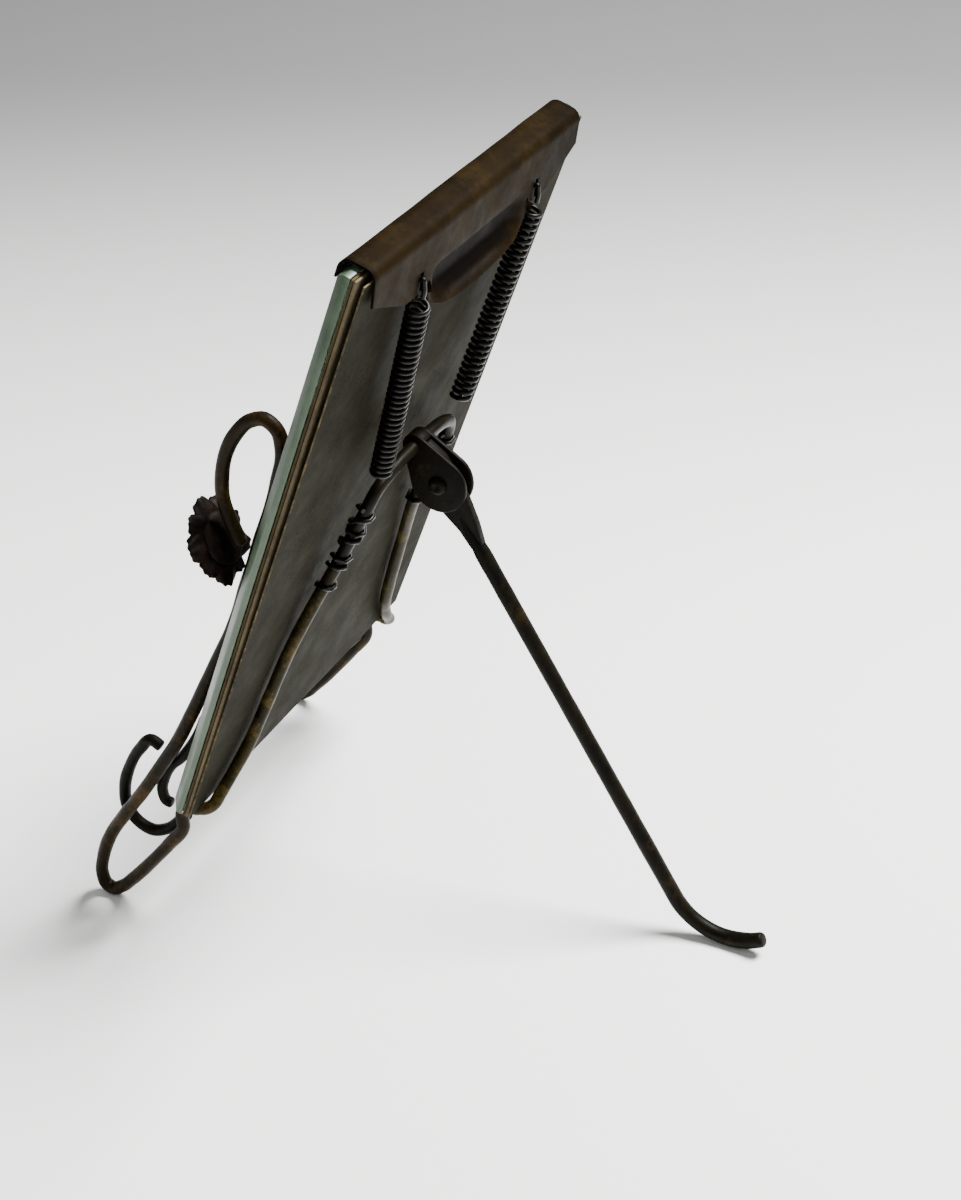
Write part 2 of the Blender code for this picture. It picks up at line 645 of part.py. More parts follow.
def main():
    """Build the stand."""
    clear_scene()
    iron = material("dark_bronzed_iron", (0.060, 0.048, 0.032), 0.45, 0.9)
    brass = material("aged_brass_rod", (0.16, 0.13, 0.06), 0.40, 0.9)
    sheet = material("bronzed_sheet", (0.17, 0.12, 0.065), 0.42, 0.9)
    wire = material("spring_wire", (0.045, 0.038, 0.028), 0.40, 0.9)
    glass = material("green_glass", (0.28, 0.40, 0.30), 0.08, 0.0)
    mount_card = material("brown_card", (0.13, 0.085, 0.045), 0.85, 0.0)
    cream_card = material("cream_card", (0.55, 0.49, 0.34), 0.85, 0.0)
    tin = material("grey_tin", (0.20, 0.18, 0.15), 0.40, 0.8)

    stand = empty("stand", (0.0, 0.0, 0.0))
    plane = empty("picture_plane", (0.0, 0.0, GLASS_LIFT), stand, (-LEAN, 0.0, 0.0))
    pivot_y, pivot_z = picture_point(PIVOT_HEIGHT, PIVOT_DEPTH)
    pivot = empty("leg_pivot", (0.0, pivot_y, pivot_z), stand)

    build_glass(glass, plane)
    build_card("photo_card", PHOTO_CARD_FRONT, PHOTO_CARD_THICK, mount_card, plane)
    build_card("backing_card", BACKING_CARD_FRONT, BACKING_CARD_THICK, cream_card, plane)
    build_back_plate(tin, plane)
    build_clip(sheet, plane)
    build_back_rod(brass, plane)
    build_yoke(iron, plane)
    build_rivet(iron, plane)
    build_leg(iron, pivot)
    for side, hand in ((-1, "left"), (1, "right")):
        build_scroll(side, f"front_scroll_{hand}", iron, stand)
        build_cradle(side, f"cradle_scroll_{hand}", iron, stand)
        build_glass_hook(side, f"glass_hook_{hand}", iron, plane)
        build_rosette(side, f"rosette_{hand}", iron, stand)
        build_spring(side, f"spring_{hand}", wire, plane)
        build_spring_hook(side, f"spring_hook_{hand}", wire, plane)
        build_spring_tail(side, f"spring_tail_{hand}", wire, plane)
    stand_on_origin(stand)


main()
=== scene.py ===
"""Looks of the photo stand: a bevelled glass plate in bent ironwork, a sprung clip and a folding leg."""
import logging
import math
from dataclasses import dataclass
from enum import Enum
from functools import cached_property

import bpy
from mathutils import Matrix, Vector, noise


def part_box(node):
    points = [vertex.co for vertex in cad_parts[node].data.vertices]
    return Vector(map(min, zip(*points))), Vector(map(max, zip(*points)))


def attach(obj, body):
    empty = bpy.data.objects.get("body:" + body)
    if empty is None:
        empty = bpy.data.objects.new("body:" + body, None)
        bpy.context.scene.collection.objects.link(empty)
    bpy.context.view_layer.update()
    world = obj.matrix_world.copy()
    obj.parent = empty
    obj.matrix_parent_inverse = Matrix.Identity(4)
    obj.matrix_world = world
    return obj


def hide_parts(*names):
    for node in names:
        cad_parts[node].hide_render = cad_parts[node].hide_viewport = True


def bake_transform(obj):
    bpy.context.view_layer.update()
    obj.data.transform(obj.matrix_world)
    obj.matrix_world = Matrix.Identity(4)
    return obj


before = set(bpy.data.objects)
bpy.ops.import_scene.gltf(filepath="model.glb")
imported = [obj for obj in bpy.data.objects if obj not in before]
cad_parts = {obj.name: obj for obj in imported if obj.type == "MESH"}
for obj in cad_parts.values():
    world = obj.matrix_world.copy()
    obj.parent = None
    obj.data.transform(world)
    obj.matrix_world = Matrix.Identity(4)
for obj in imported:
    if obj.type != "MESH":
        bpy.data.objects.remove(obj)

LOG = logging.getLogger("photo_easel")
# Name of the stored mark for a darker colour: painted shade in the clip's lobe hollow and round its slits,
# plain darkening along the clip's ends and towards the top of the back rod.
SHADE_AND_DARKENING = "painted_shade_and_darkening"
FIT_GAP = 0.0003
Colour = tuple[float, float, float]
Point = tuple[float, float, float]
Pair = tuple[float, float]


class Body(Enum):
    """The CAD bodies that pieces ride on."""

    STAND = "stand"
    CLIP = "clip"
    LEG = "leg"


class Hand(Enum):
    """The two sides of the stand, as the sign of X."""

    LEFT = -1
    RIGHT = 1

    @property
    def word(self) -> str:
        """The side's name as the CAD nodes spell it."""
        return self.name.lower()


# ---------------------------------------------------------------- frame and shared sizes


@dataclass(frozen=True)
class PicturePlane:
    """The leaning frame of the glass: X along its foot, height up its back face, depth out of its back."""

    lean: float = math.radians(19.0)
    lift: float = 0.0369
    width: float = 0.105
    height: float = 0.150
    glass_front: float = -0.0033
    plate_low: float = 0.0020
    plate_spread: float = 0.0012
    plate_thick: float = 0.0004
    crossbar_height: float = 0.0865
    crossbar_depth: float = 0.0081
    pivot_height: float = 0.0804
    pivot_depth: float = 0.0164

    @cached_property
    def shift(self) -> float:
        """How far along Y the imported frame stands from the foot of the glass, read off the hinge rivet."""
        low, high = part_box("rivet")
        sine, cosine = math.sin(self.lean), math.cos(self.lean)
        return (low.y + high.y) / 2 - self.pivot_height * sine - self.pivot_depth * cosine

    def point(self, x: float, depth: float, height: float) -> Vector:
        """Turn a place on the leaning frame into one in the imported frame.

        Args:
            x: Distance along the foot of the glass.
            depth: Distance behind the glass's back face.
            height: Distance up the glass.

        Returns:
            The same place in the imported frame.
        """
        sine, cosine = math.sin(self.lean), math.cos(self.lean)
        return Vector((
            x,
            self.shift + height * sine + depth * cosine,
            self.lift + height * cosine - depth * sine,
        ))

    def plate_back(self, height: float) -> float:
        """Give the depth of the tin plate's back face at a height."""
        return self.plate_low + self.plate_spread * height / self.height


PLANE = PicturePlane()


# ---------------------------------------------------------------- modelling helpers


def activate(piece: bpy.types.Object) -> None:
    """Select one piece alone and make it the active one."""
    bpy.ops.object.select_all(action="DESELECT")
    piece.select_set(True)
    bpy.context.view_layer.objects.active = piece


def started(name: str) -> bpy.types.Object:
    """Name the primitive that was just added, and return it."""
    piece = bpy.context.object
    piece.name = name
    piece.data.name = name
    return piece


def apply_place(piece: bpy.types.Object) -> None:
    """Put a piece's place, turn and size into its mesh."""
    activate(piece)
    bpy.ops.object.transform_apply(location=True, rotation=True, scale=True)


def apply_modifier(piece: bpy.types.Object, kind: str, **settings: object) -> None:
    """Add a modifier to a piece and apply it.

    Args:
        piece: The mesh to change.
        kind: Blender's name for the modifier.
        settings: Its settings, by their property names.
    """
    activate(piece)
    change = piece.modifiers.new(kind.lower(), kind)
    for key, value in settings.items():
        setattr(change, key, value)
    bpy.ops.object.modifier_apply(modifier=change.name)


def close_and_face_out(piece: bpy.types.Object, within: float = 2e-7) -> None:
    """Merge a mesh's doubled points and point its faces outwards."""
    activate(piece)
    bpy.ops.object.mode_set(mode="EDIT")
    bpy.ops.mesh.select_all(action="SELECT")
    bpy.ops.mesh.remove_doubles(threshold=within)
    bpy.ops.mesh.normals_make_consistent(inside=False)
    bpy.ops.object.mode_set(mode="OBJECT")


def smooth(piece: bpy.types.Object, angle: float = 40.0) -> None:
    """Shade a piece smooth apart from its edges sharper than an angle in degrees."""
    activate(piece)
    bpy.ops.object.shade_smooth_by_angle(angle=math.radians(angle))


def joined(name: str, pieces: list[bpy.types.Object]) -> bpy.types.Object:
    """Join several meshes into the first of them."""
    activate(pieces[0])
    for piece in pieces[1:]:
        piece.select_set(True)
    bpy.ops.object.join()
    return started(name)


def dress(
    piece: bpy.types.Object, body: Body, slot: str, nodes: list[str], *finishes: bpy.types.Material
) -> None:
    """Give a finished piece its materials, its body and the CAD nodes that it stands for.

    Args:
        piece: The finished mesh.
        body: The CAD body that it rides on.
        slot: The record's material slot; not used.
        nodes: The CAD nodes that it replaces.
        finishes: Its materials, in the order of its slots.
    """
    piece.data.materials.clear()
    for finish in finishes:
        piece.data.materials.append(finish)
    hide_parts(*nodes)
    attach(piece, body.value)
    LOG.info("%s: %d faces, on %s", piece.name, len(piece.data.polygons), body.value)


def smooth_path(points: list[Vector], steps: int) -> list[Vector]:
    """Draw a smooth curve through points.

    Args:
        points: The points that it passes through.
        steps: How many steps it takes between each two of them.

    Returns:
        The points along the curve.
    """
    spans = [max((b - a).length, 1e-6) for a, b in zip(points, points[1:])]
    slopes = [(points[1] - points[0]) / spans[0]]
    for i in range(1, len(points) - 1):
        before = (points[i] - points[i - 1]) / spans[i - 1]
        after = (points[i + 1] - points[i]) / spans[i]
        weight = spans[i - 1] / (spans[i - 1] + spans[i])
        slopes.append(before * (1 - weight) + after * weight)
    slopes.append((points[-1] - points[-2]) / spans[-1])
    path = []
    for i, span in enumerate(spans):
        for step in range(steps):
            t = step / steps
            path.append(
                points[i] * (2 * t**3 - 3 * t**2 + 1) + slopes[i] * span * (t**3 - 2 * t**2 + t)
                + points[i + 1] * (3 * t**2 - 2 * t**3) + slopes[i + 1] * span * (t**3 - t**2)
            )
    path.append(points[-1])
    return path


def bent_rod(name: str, path: list[Vector], radius: float, shares: list[float] | None = None,
             roundness: int = 6) -> bpy.types.Object:
    """Bend a round rod along a path.

    Args:
        name: The piece's name.
        path: The rod's centreline.
        radius: The rod's radius.
        shares: The share of the radius at each point, where the rod isn't even.
        roundness: Blender's bevel resolution.

    Returns:
        The rod as a closed mesh.
    """
    bpy.ops.object.select_all(action="DESELECT")
    bpy.ops.curve.primitive_nurbs_path_add(location=(0.0, 0.0, 0.0))
    rod = started(name)
    rod.data.splines.clear()
    spline = rod.data.splines.new("POLY")
    spline.points.add(len(path) - 1)
    for i, (knot, place) in enumerate(zip(spline.points, path)):
        knot.co = (*place, 1.0)
        knot.radius = shares[i] if shares else 1.0
    rod.data.bevel_depth = radius
    rod.data.bevel_resolution = roundness
    rod.data.use_fill_caps = True
    bpy.ops.object.convert(target="MESH")
    rod = started(name)
    close_and_face_out(rod)
    smooth(rod, 50.0)
    return rod


def filed_ends(path: list[Vector], radius: float, softness: float = 0.45) -> tuple[list[Vector], list[float]]:
    """Round off both ends of a rod's path.

    Args:
        path: The rod's centreline.
        radius: The rod's radius.
        softness: The share of the radius over which each end rounds off.

    Returns:
        The path with extra points near its ends, and the share of the radius at each point.
    """
    reach = radius * softness
    ends = []
    for tip, inner in ((path[0], path[1]), (path[-1], path[-2])):
        heading = (inner - tip).normalized()
        ends.append([tip + heading * reach * part for part in (0.0, 0.12, 0.4, 1.0)])
    body = [
        point for point in path
        if (point - path[0]).length > reach * 1.1 and (point - path[-1]).length > reach * 1.1
    ]
    rise = [0.62, 0.80, 0.94, 1.0]
    return ends[0] + body + ends[1][::-1], rise + [1.0] * len(body) + rise[::-1]


def uneven(path: list[Vector], shares: list[float], amount: float, seed: float) -> list[float]:
    """Vary a rod's thickness a little along its length, as hammering and rust do."""
    start = Vector((seed, 0.0, 0.0))
    return [
        share * (1.0 + amount * noise.noise(point * 160.0 + start))
        for point, share in zip(path, shares)
    ]


def hammered_rod(name: str, path: list[Vector], radius: float, amount: float, seed: float,
                 roundness: int = 6) -> bpy.types.Object:
    """Bend a rod with filed ends and a slightly uneven thickness.

    Args:
        name: The piece's name.
        path: The rod's centreline.
        radius: The rod's radius.
        amount: The greatest share by which its thickness varies.
        seed: A number that makes this rod's unevenness its own.
        roundness: Blender's bevel resolution.

    Returns:
        The rod.
    """
    path, shares = filed_ends(path, radius)
    return bent_rod(name, path, radius, uneven(path, shares, amount, seed), roundness)


def cut_plate(name: str, outline: list[Pair], low: float, high: float, bevel: float) -> bpy.types.Object:
    """Cut a flat plate to a (y, z) outline, with its faces square to X and its edges softened.

    Args:
        name: The piece's name.
        outline: The corners, in order.
        low: The X of one face.
        high: The X of the other face.
        bevel: The width of the softened edge.

    Returns:
        The plate.
    """
    bpy.ops.object.select_all(action="DESELECT")
    bpy.ops.mesh.primitive_circle_add(vertices=len(outline), radius=1.0, fill_type="NGON", location=(0, 0, 0))
    plate = started(name)
    for vertex, (y, z) in zip(plate.data.vertices, outline):
        vertex.co = (low, y, z)
    bpy.ops.object.mode_set(mode="EDIT")
    bpy.ops.mesh.select_all(action="SELECT")
    bpy.ops.mesh.extrude_region_move(TRANSFORM_OT_translate={"value": (high - low, 0.0, 0.0)})
    bpy.ops.mesh.select_all(action="SELECT")
    bpy.ops.mesh.normals_make_consistent(inside=False)
    bpy.ops.object.mode_set(mode="OBJECT")
    apply_modifier(plate, "BEVEL", width=bevel, segments=3, limit_method="ANGLE",
                   angle_limit=math.radians(50.0))
    smooth(plate, 40.0)
    return plate


def arc(centre: Pair, radius: float, start: float, end: float, steps: int) -> list[Pair]:
    """Give the points of an arc whose ends are angles in degrees."""
    angles = [math.radians(start + (end - start) * i / steps) for i in range(steps + 1)]
    return [(centre[0] + radius * math.cos(a), centre[1] + radius * math.sin(a)) for a in angles]


# ---------------------------------------------------------------- finishes


class Shader:
    """A node tree under construction, with short calls for the nodes that every finish uses."""

    def __init__(self, tree: bpy.types.NodeTree) -> None:
        """Start on a tree."""
        self.tree = tree

    def node(self, kind: str, inputs: dict | None = None, **settings: object) -> bpy.types.Node:
        """Add a node.

        Args:
            kind: The node's type, without its "ShaderNode" prefix.
            inputs: Values or sockets for its inputs, by name or number.
            settings: Its own settings.

        Returns:
            The node.
        """
        made = self.tree.nodes.new(f"ShaderNode{kind}")
        for key, value in settings.items():
            setattr(made, key, value)
        for key, value in (inputs or {}).items():
            socket = made.inputs[key]
            if isinstance(value, bpy.types.NodeSocket):
                self.tree.links.new(value, socket)
            else:
                socket.default_value = value
        return made

    def ramp(self, value: bpy.types.NodeSocket, stops: list[tuple[float, float]]) -> bpy.types.NodeSocket:
        """Turn a value through a grey ramp with stops of (place, value), and return its output."""
        made = self.node("ValToRGB", {0: value})
        while len(made.color_ramp.elements) < len(stops):
            made.color_ramp.elements.new(0.5)
        for element, (place, grey) in zip(made.color_ramp.elements, stops):
            element.position = place
            element.color = (grey, grey, grey, 1.0)
        return made.outputs[0]

    def mix(self, share: object, first: object, second: object, blend: str = "MIX") -> bpy.types.NodeSocket:
        """Mix two colours, and return the result."""
        made = self.node("Mix", data_type="RGBA", blend_type=blend)
        for socket, value in ((made.inputs[0], share), (made.inputs[6], first), (made.inputs[7], second)):
            if isinstance(value, bpy.types.NodeSocket):
                self.tree.links.new(value, socket)
            elif isinstance(value, tuple):
                socket.default_value = (*value, 1.0)
            else:
                socket.default_value = value
        return made.outputs[2]

    def maths(self, operation: str, first: object, second: object = 0.0) -> bpy.types.NodeSocket:
        """Do sums on one or two values, and return the result."""
        return self.node("Math", {0: first, 1: second}, operation=operation).outputs[0]

    def noise(
        self, place: object, scale: float, detail: float = 4.0, rough: float = 0.55
    ) -> bpy.types.NodeSocket:
        """Return a noise value at a place."""
        inputs = {"Vector": place, "Scale": scale, "Detail": detail, "Roughness": rough}
        return self.node("TexNoise", inputs).outputs[0]

    def group(self, group: bpy.types.NodeTree, inputs: dict) -> bpy.types.Node:
        """Add a shared node group."""
        made = self.tree.nodes.new("ShaderNodeGroup")
        made.node_tree = group
        for key, value in inputs.items():
            if isinstance(value, bpy.types.NodeSocket):
                self.tree.links.new(value, made.inputs[key])
            else:
                made.inputs[key].default_value = value
        return made


class SharedEffects:
    """The node groups that several finishes share, each made once."""

    def __init__(self) -> None:
        """Make the groups."""
        self.patina = self._patina()
        self.specks = self._specks()
        self.relief = self._relief()

    @staticmethod
    def _new(
        name: str, inputs: dict[str, str], outputs: dict[str, str]
    ) -> tuple[Shader, dict, bpy.types.Node]:
        """Start a group with named sockets.

        Args:
            name: The group's name.
            inputs: Its inputs and their socket types.
            outputs: Its outputs and their socket types.

        Returns:
            The group's shader, its input sockets by name, and its output node.
        """
        tree = bpy.data.node_groups.new(name, "ShaderNodeTree")
        for label, kind in inputs.items():
            tree.interface.new_socket(name=label, in_out="INPUT", socket_type=kind)
        for label, kind in outputs.items():
            tree.interface.new_socket(name=label, in_out="OUTPUT", socket_type=kind)
        entry, leave = tree.nodes.new("NodeGroupInput"), tree.nodes.new("NodeGroupOutput")
        return Shader(tree), {label: entry.outputs[label] for label in inputs}, leave

    def _patina(self) -> bpy.types.NodeTree:
        """Blotches of a second colour, broken up by finer noise."""
        inputs = {"Place": "NodeSocketVector", "Scale": "NodeSocketFloat", "Amount": "NodeSocketFloat"}
        shader, sockets, leave = self._new("patina_blotches", inputs, {"Mask": "NodeSocketFloat"})
        broad = shader.noise(sockets["Place"], 1.0, 5.0, 0.6)
        shader.tree.links.new(sockets["Scale"], broad.node.inputs["Scale"])
        fine = shader.noise(sockets["Place"], 1.0, 3.0, 0.7)
        shader.tree.links.new(shader.maths("MULTIPLY", sockets["Scale"], 7.0), fine.node.inputs["Scale"])
        both = shader.maths(
            "ADD", shader.maths("MULTIPLY", broad, 0.72), shader.maths("MULTIPLY", fine, 0.28))
        low = shader.maths("SUBTRACT", 1.0, sockets["Amount"])
        inputs = {"Value": both, "From Min": shader.maths("ADD", shader.maths("MULTIPLY", low, 0.5), 0.16)}
        spread = shader.node("MapRange", inputs, clamp=True)
        shader.tree.links.new(
            shader.maths("ADD", shader.maths("MULTIPLY", low, 0.5), 0.40), spread.inputs["From Max"]
        )
        shader.tree.links.new(spread.outputs[0], leave.inputs["Mask"])
        return shader.tree

    def _specks(self) -> bpy.types.NodeTree:
        """Scattered round specks of uneven size."""
        inputs = {"Place": "NodeSocketVector", "Scale": "NodeSocketFloat", "Size": "NodeSocketFloat"}
        shader, sockets, leave = self._new("scattered_specks", inputs, {"Mask": "NodeSocketFloat"})
        warp = shader.noise(sockets["Place"], 420.0, 2.0)
        moved = shader.node("VectorMath", {0: sockets["Place"]}, operation="ADD")
        shader.tree.links.new(shader.maths("MULTIPLY", warp, 0.0012), moved.inputs[1])
        cells = shader.node("TexVoronoi", {"Vector": moved.outputs[0]}, feature="F1")
        shader.tree.links.new(sockets["Scale"], cells.inputs["Scale"])
        thin = shader.noise(sockets["Place"], 90.0, 2.0)
        size = shader.maths("MULTIPLY", sockets["Size"], shader.ramp(thin, [(0.35, 0.15), (0.68, 1.0)]))
        inputs = {"Value": cells.outputs["Distance"], "To Min": 1.0, "To Max": 0.0}
        mask = shader.node("MapRange", inputs, clamp=True)
        shader.tree.links.new(shader.maths("MULTIPLY", size, 0.6), mask.inputs["From Min"])
        shader.tree.links.new(size, mask.inputs["From Max"])
        shader.tree.links.new(mask.outputs[0], leave.inputs["Mask"])
        return shader.tree

    def _relief(self) -> bpy.types.NodeTree:
        """Fine uneven relief as a normal."""
        inputs = {"Place": "NodeSocketVector", "Scale": "NodeSocketFloat", "Depth": "NodeSocketFloat"}
        shader, sockets, leave = self._new("fine_relief", inputs, {"Normal": "NodeSocketVector"})
        pits = shader.noise(sockets["Place"], 1.0, 6.0, 0.65)
        shader.tree.links.new(sockets["Scale"], pits.node.inputs["Scale"])
        bump = shader.node("Bump", {"Height": pits, "Strength": 0.55})
        shader.tree.links.new(sockets["Depth"], bump.inputs["Distance"])
        shader.tree.links.new(bump.outputs[0], leave.inputs["Normal"])
        return shader.tree


EFFECTS = SharedEffects()


def principled(name: str) -> tuple[bpy.types.Material, Shader, bpy.types.Node, bpy.types.NodeSocket]:
    """Start a material.

    Args:
        name: The material's name.

    Returns:
        The material, its node tree, its Principled node and the Object coordinates.
    """
    material = bpy.data.materials.new(name)
    material.use_nodes = True
    shader = Shader(material.node_tree)
    surface = material.node_tree.nodes["Principled BSDF"]
    place = shader.node("TexCoord").outputs["Object"]
    return material, shader, surface, place


def connect(shader: Shader, surface: bpy.types.Node, **sockets: bpy.types.NodeSocket) -> None:
    """Link sockets to a surface's inputs, with spaces in their names written as underscores."""
    for key, socket in sockets.items():
        shader.tree.links.new(socket, surface.inputs[key.replace("_", " ")])


@dataclass(frozen=True)
class AgedMetal:
    """Metal with a worn, blotched patina, specks and pits, and a darker colour where a mark is stored, partly
    painted shade.
    """

    name: str
    dark: Colour
    base: Colour
    bright: Colour
    blotch_scale: float
    blotch_amount: float
    bright_amount: float
    speck: Colour
    speck_size: float
    roughness: Pair
    metallic: float
    specular: float
    relief: Pair
    # The darker colour where the stored mark is high: painted shade on the clip, plain darkening on the back
    # rod.
    painted_shade_and_darkening: Colour | None = None

    def build(self) -> bpy.types.Material:
        """Make the material."""
        material, shader, surface, place = principled(self.name)
        shade = shader.group(EFFECTS.patina, {
            "Place": place, "Scale": self.blotch_scale, "Amount": self.blotch_amount}).outputs[0]
        moved = shader.node("Mapping", {"Vector": place, "Location": (0.31, 0.17, 0.05)}).outputs[0]
        wear = shader.group(EFFECTS.patina, {
            "Place": moved, "Scale": self.blotch_scale * 1.7, "Amount": self.bright_amount}).outputs[0]
        specks = shader.group(EFFECTS.specks, {
            "Place": place, "Scale": 900.0, "Size": self.speck_size}).outputs[0]
        colour = shader.mix(shade, self.base, self.dark)
        colour = shader.mix(wear, colour, self.bright)
        colour = shader.mix(specks, colour, self.speck)
        # Turn towards the darker colour where the stored mark is high: painted shade in the clip's hollow and
        # round its slits, plain darkening elsewhere.
        if self.painted_shade_and_darkening:
            shade_and_darkening_mark = shader.tree.nodes.new("ShaderNodeAttribute")
            shade_and_darkening_mark.attribute_name = SHADE_AND_DARKENING
            ragged = shader.maths("ADD", shade_and_darkening_mark.outputs["Fac"], shader.maths(
                "MULTIPLY", shader.maths("SUBTRACT", shader.noise(place, 420.0, 5.0, 0.65), 0.5), 0.55))
            colour = shader.mix(shader.ramp(ragged, [(0.22, 0.0), (0.70, 0.95)]), colour, self.painted_shade_and_darkening)
        rough = shader.node("MapRange", {
            "Value": shader.noise(place, self.blotch_scale * 3.0, 5.0, 0.6),
            "From Min": 0.3, "From Max": 0.7, "To Min": self.roughness[0], "To Max": self.roughness[1]})
        normal = shader.group(EFFECTS.relief, {
            "Place": place, "Scale": self.relief[0], "Depth": self.relief[1]}).outputs[0]
        surface.inputs["Metallic"].default_value = self.metallic
        surface.inputs["Specular IOR Level"].default_value = self.specular
        connect(shader, surface, Base_Color=colour, Roughness=rough.outputs[0], Normal=normal)
        return material


@dataclass(frozen=True)
class Card:
    """Aged card with fibres and stains."""

    name: str
    base: Colour
    stain: Colour
    stain_amount: float

    def build(self) -> bpy.types.Material:
        """Make the material."""
        material, shader, surface, place = principled(self.name)
        stain = shader.group(EFFECTS.patina, {
            "Place": place, "Scale": 70.0, "Amount": self.stain_amount}).outputs[0]
        fibre = shader.noise(place, 1500.0, 3.0, 0.7)
        colour = shader.mix(stain, self.base, self.stain)
        colour = shader.mix(shader.ramp(fibre, [(0.4, 0.0), (0.75, 0.45)]), colour, self.stain)
        normal = shader.group(EFFECTS.relief, {"Place": place, "Scale": 1400.0, "Depth": 0.00008}).outputs[0]
        surface.inputs["Roughness"].default_value = 0.85
        surface.inputs["Specular IOR Level"].default_value = 0.25
        connect(shader, surface, Base_Color=colour, Normal=normal)
        return material


@dataclass(frozen=True)
class Glass:
    """Clear old glass, or its ground green edge."""

    name: str
    colour: Colour
    haze: Colour
    roughness: Pair
    transmission: float

    def build(self) -> bpy.types.Material:
        """Make the material."""
        material, shader, surface, place = principled(self.name)
        haze = shader.noise(place, 130.0, 6.0, 0.65)
        colour = shader.mix(shader.ramp(haze, [(0.42, 0.0), (0.72, 0.7)]), self.colour, self.haze)
        rough = shader.node("MapRange", {
            "Value": haze, "From Min": 0.35, "From Max": 0.7,
            "To Min": self.roughness[0], "To Max": self.roughness[1]})
        normal = shader.group(EFFECTS.relief, {"Place": place, "Scale": 260.0, "Depth": 0.00003}).outputs[0]
        surface.inputs["Transmission Weight"].default_value = self.transmission
        surface.inputs["IOR"].default_value = 1.52
        connect(shader, surface, Base_Color=colour, Roughness=rough.outputs[0], Normal=normal)
        return material


class Finishes:
    """Every finish on the stand."""

    def __init__(self) -> None:
        """Make the materials."""
        self.iron = AgedMetal(
            "dark_bronzed_iron", (0.0013, 0.0011, 0.0005), (0.0052, 0.0040, 0.0016), (0.026, 0.0145, 0.0042),
            90.0, 0.50, 0.22, (0.03, 0.022, 0.014), 0.08, (0.36, 0.60), 0.08, 0.06, (900.0, 0.00012)).build()
        self.worn_iron = AgedMetal(
            "worn_bronzed_iron", (0.0024, 0.0017, 0.0007), (0.0115, 0.0074, 0.0022), (0.054, 0.030, 0.0080),
            75.0, 0.42, 0.32, (0.04, 0.025, 0.014), 0.08, (0.34, 0.56), 0.10, 0.07, (900.0, 0.00010)).build()
        # The brass's last colour makes the back rod darker towards its top.
        self.brass = AgedMetal(
            "aged_brass_rod", (0.0045, 0.0035, 0.0009), (0.0215, 0.0155, 0.0030), (0.098, 0.068, 0.014),
            80.0, 0.52, 0.32, (0.014, 0.009, 0.005), 0.14, (0.32, 0.52), 0.15, 0.09, (800.0, 0.00010),
            (0.0036, 0.0026, 0.0010)).build()
        # The sheet's last colour is the painted shade in the clip's lobe hollow and round its slits, and the
        # darkening along its ends.
        self.sheet = AgedMetal(
            "bronzed_sheet", (0.0030, 0.0015, 0.0003), (0.0078, 0.0044, 0.0009), (0.0165, 0.0100, 0.0022),
            55.0, 0.46, 0.34, (0.0020, 0.0011, 0.0004), 0.24, (0.46, 0.64), 0.0, 0.022, (700.0, 0.00010),
            (0.0012, 0.0006, 0.0002)).build()
        self.wire = AgedMetal(
            "spring_wire", (0.0011, 0.0009, 0.0005), (0.0034, 0.0027, 0.0014), (0.016, 0.012, 0.007),
            160.0, 0.45, 0.22, (0.03, 0.022, 0.014), 0.08, (0.22, 0.38), 0.15, 0.15,
            (1100.0, 0.00006)).build()
        self.tin = AgedMetal(
            "grey_tin", (0.0058, 0.0050, 0.0022), (0.0102, 0.0094, 0.0045), (0.0160, 0.0150, 0.0080),
            38.0, 0.40, 0.34, (0.0016, 0.0011, 0.0006), 0.42, (0.54, 0.70), 0.0, 0.018,
            (520.0, 0.00012)).build()
        # The tin plate's edge faces: a yellowed edge with a painted highlight, much brighter than the plate.
        self.plate_edge_and_highlight = AgedMetal(
            "tin_plate_edge", (0.010, 0.007, 0.003), (0.070, 0.050, 0.019), (0.20, 0.155, 0.070),
            260.0, 0.50, 0.35, (0.008, 0.005, 0.002), 0.30, (0.45, 0.62), 0.0, 0.15, (900.0, 0.00010)).build()
        self.flower = AgedMetal(
            "cast_flower", (0.0014, 0.0010, 0.0007), (0.0056, 0.0036, 0.0023), (0.024, 0.0105, 0.0062),
            150.0, 0.50, 0.28, (0.035, 0.024, 0.016), 0.10, (0.38, 0.62), 0.10, 0.07,
            (1000.0, 0.00016)).build()
        self.mount_card = Card("brown_card", (0.050, 0.035, 0.0090), (0.018, 0.0105, 0.0030), 0.42).build()
        self.cream_card = Card("cream_card", (0.115, 0.088, 0.048), (0.036, 0.021, 0.008), 0.42).build()
        self.glass = Glass("green_glass", (0.86, 0.94, 0.88), (0.80, 0.90, 0.84), (0.02, 0.07), 1.0).build()
        self.glass_edge = Glass(
            "ground_glass_edge", (0.040, 0.075, 0.038), (0.100, 0.150, 0.090), (0.30, 0.5), 0.20).build()


# ---------------------------------------------------------------- the glass and what it holds


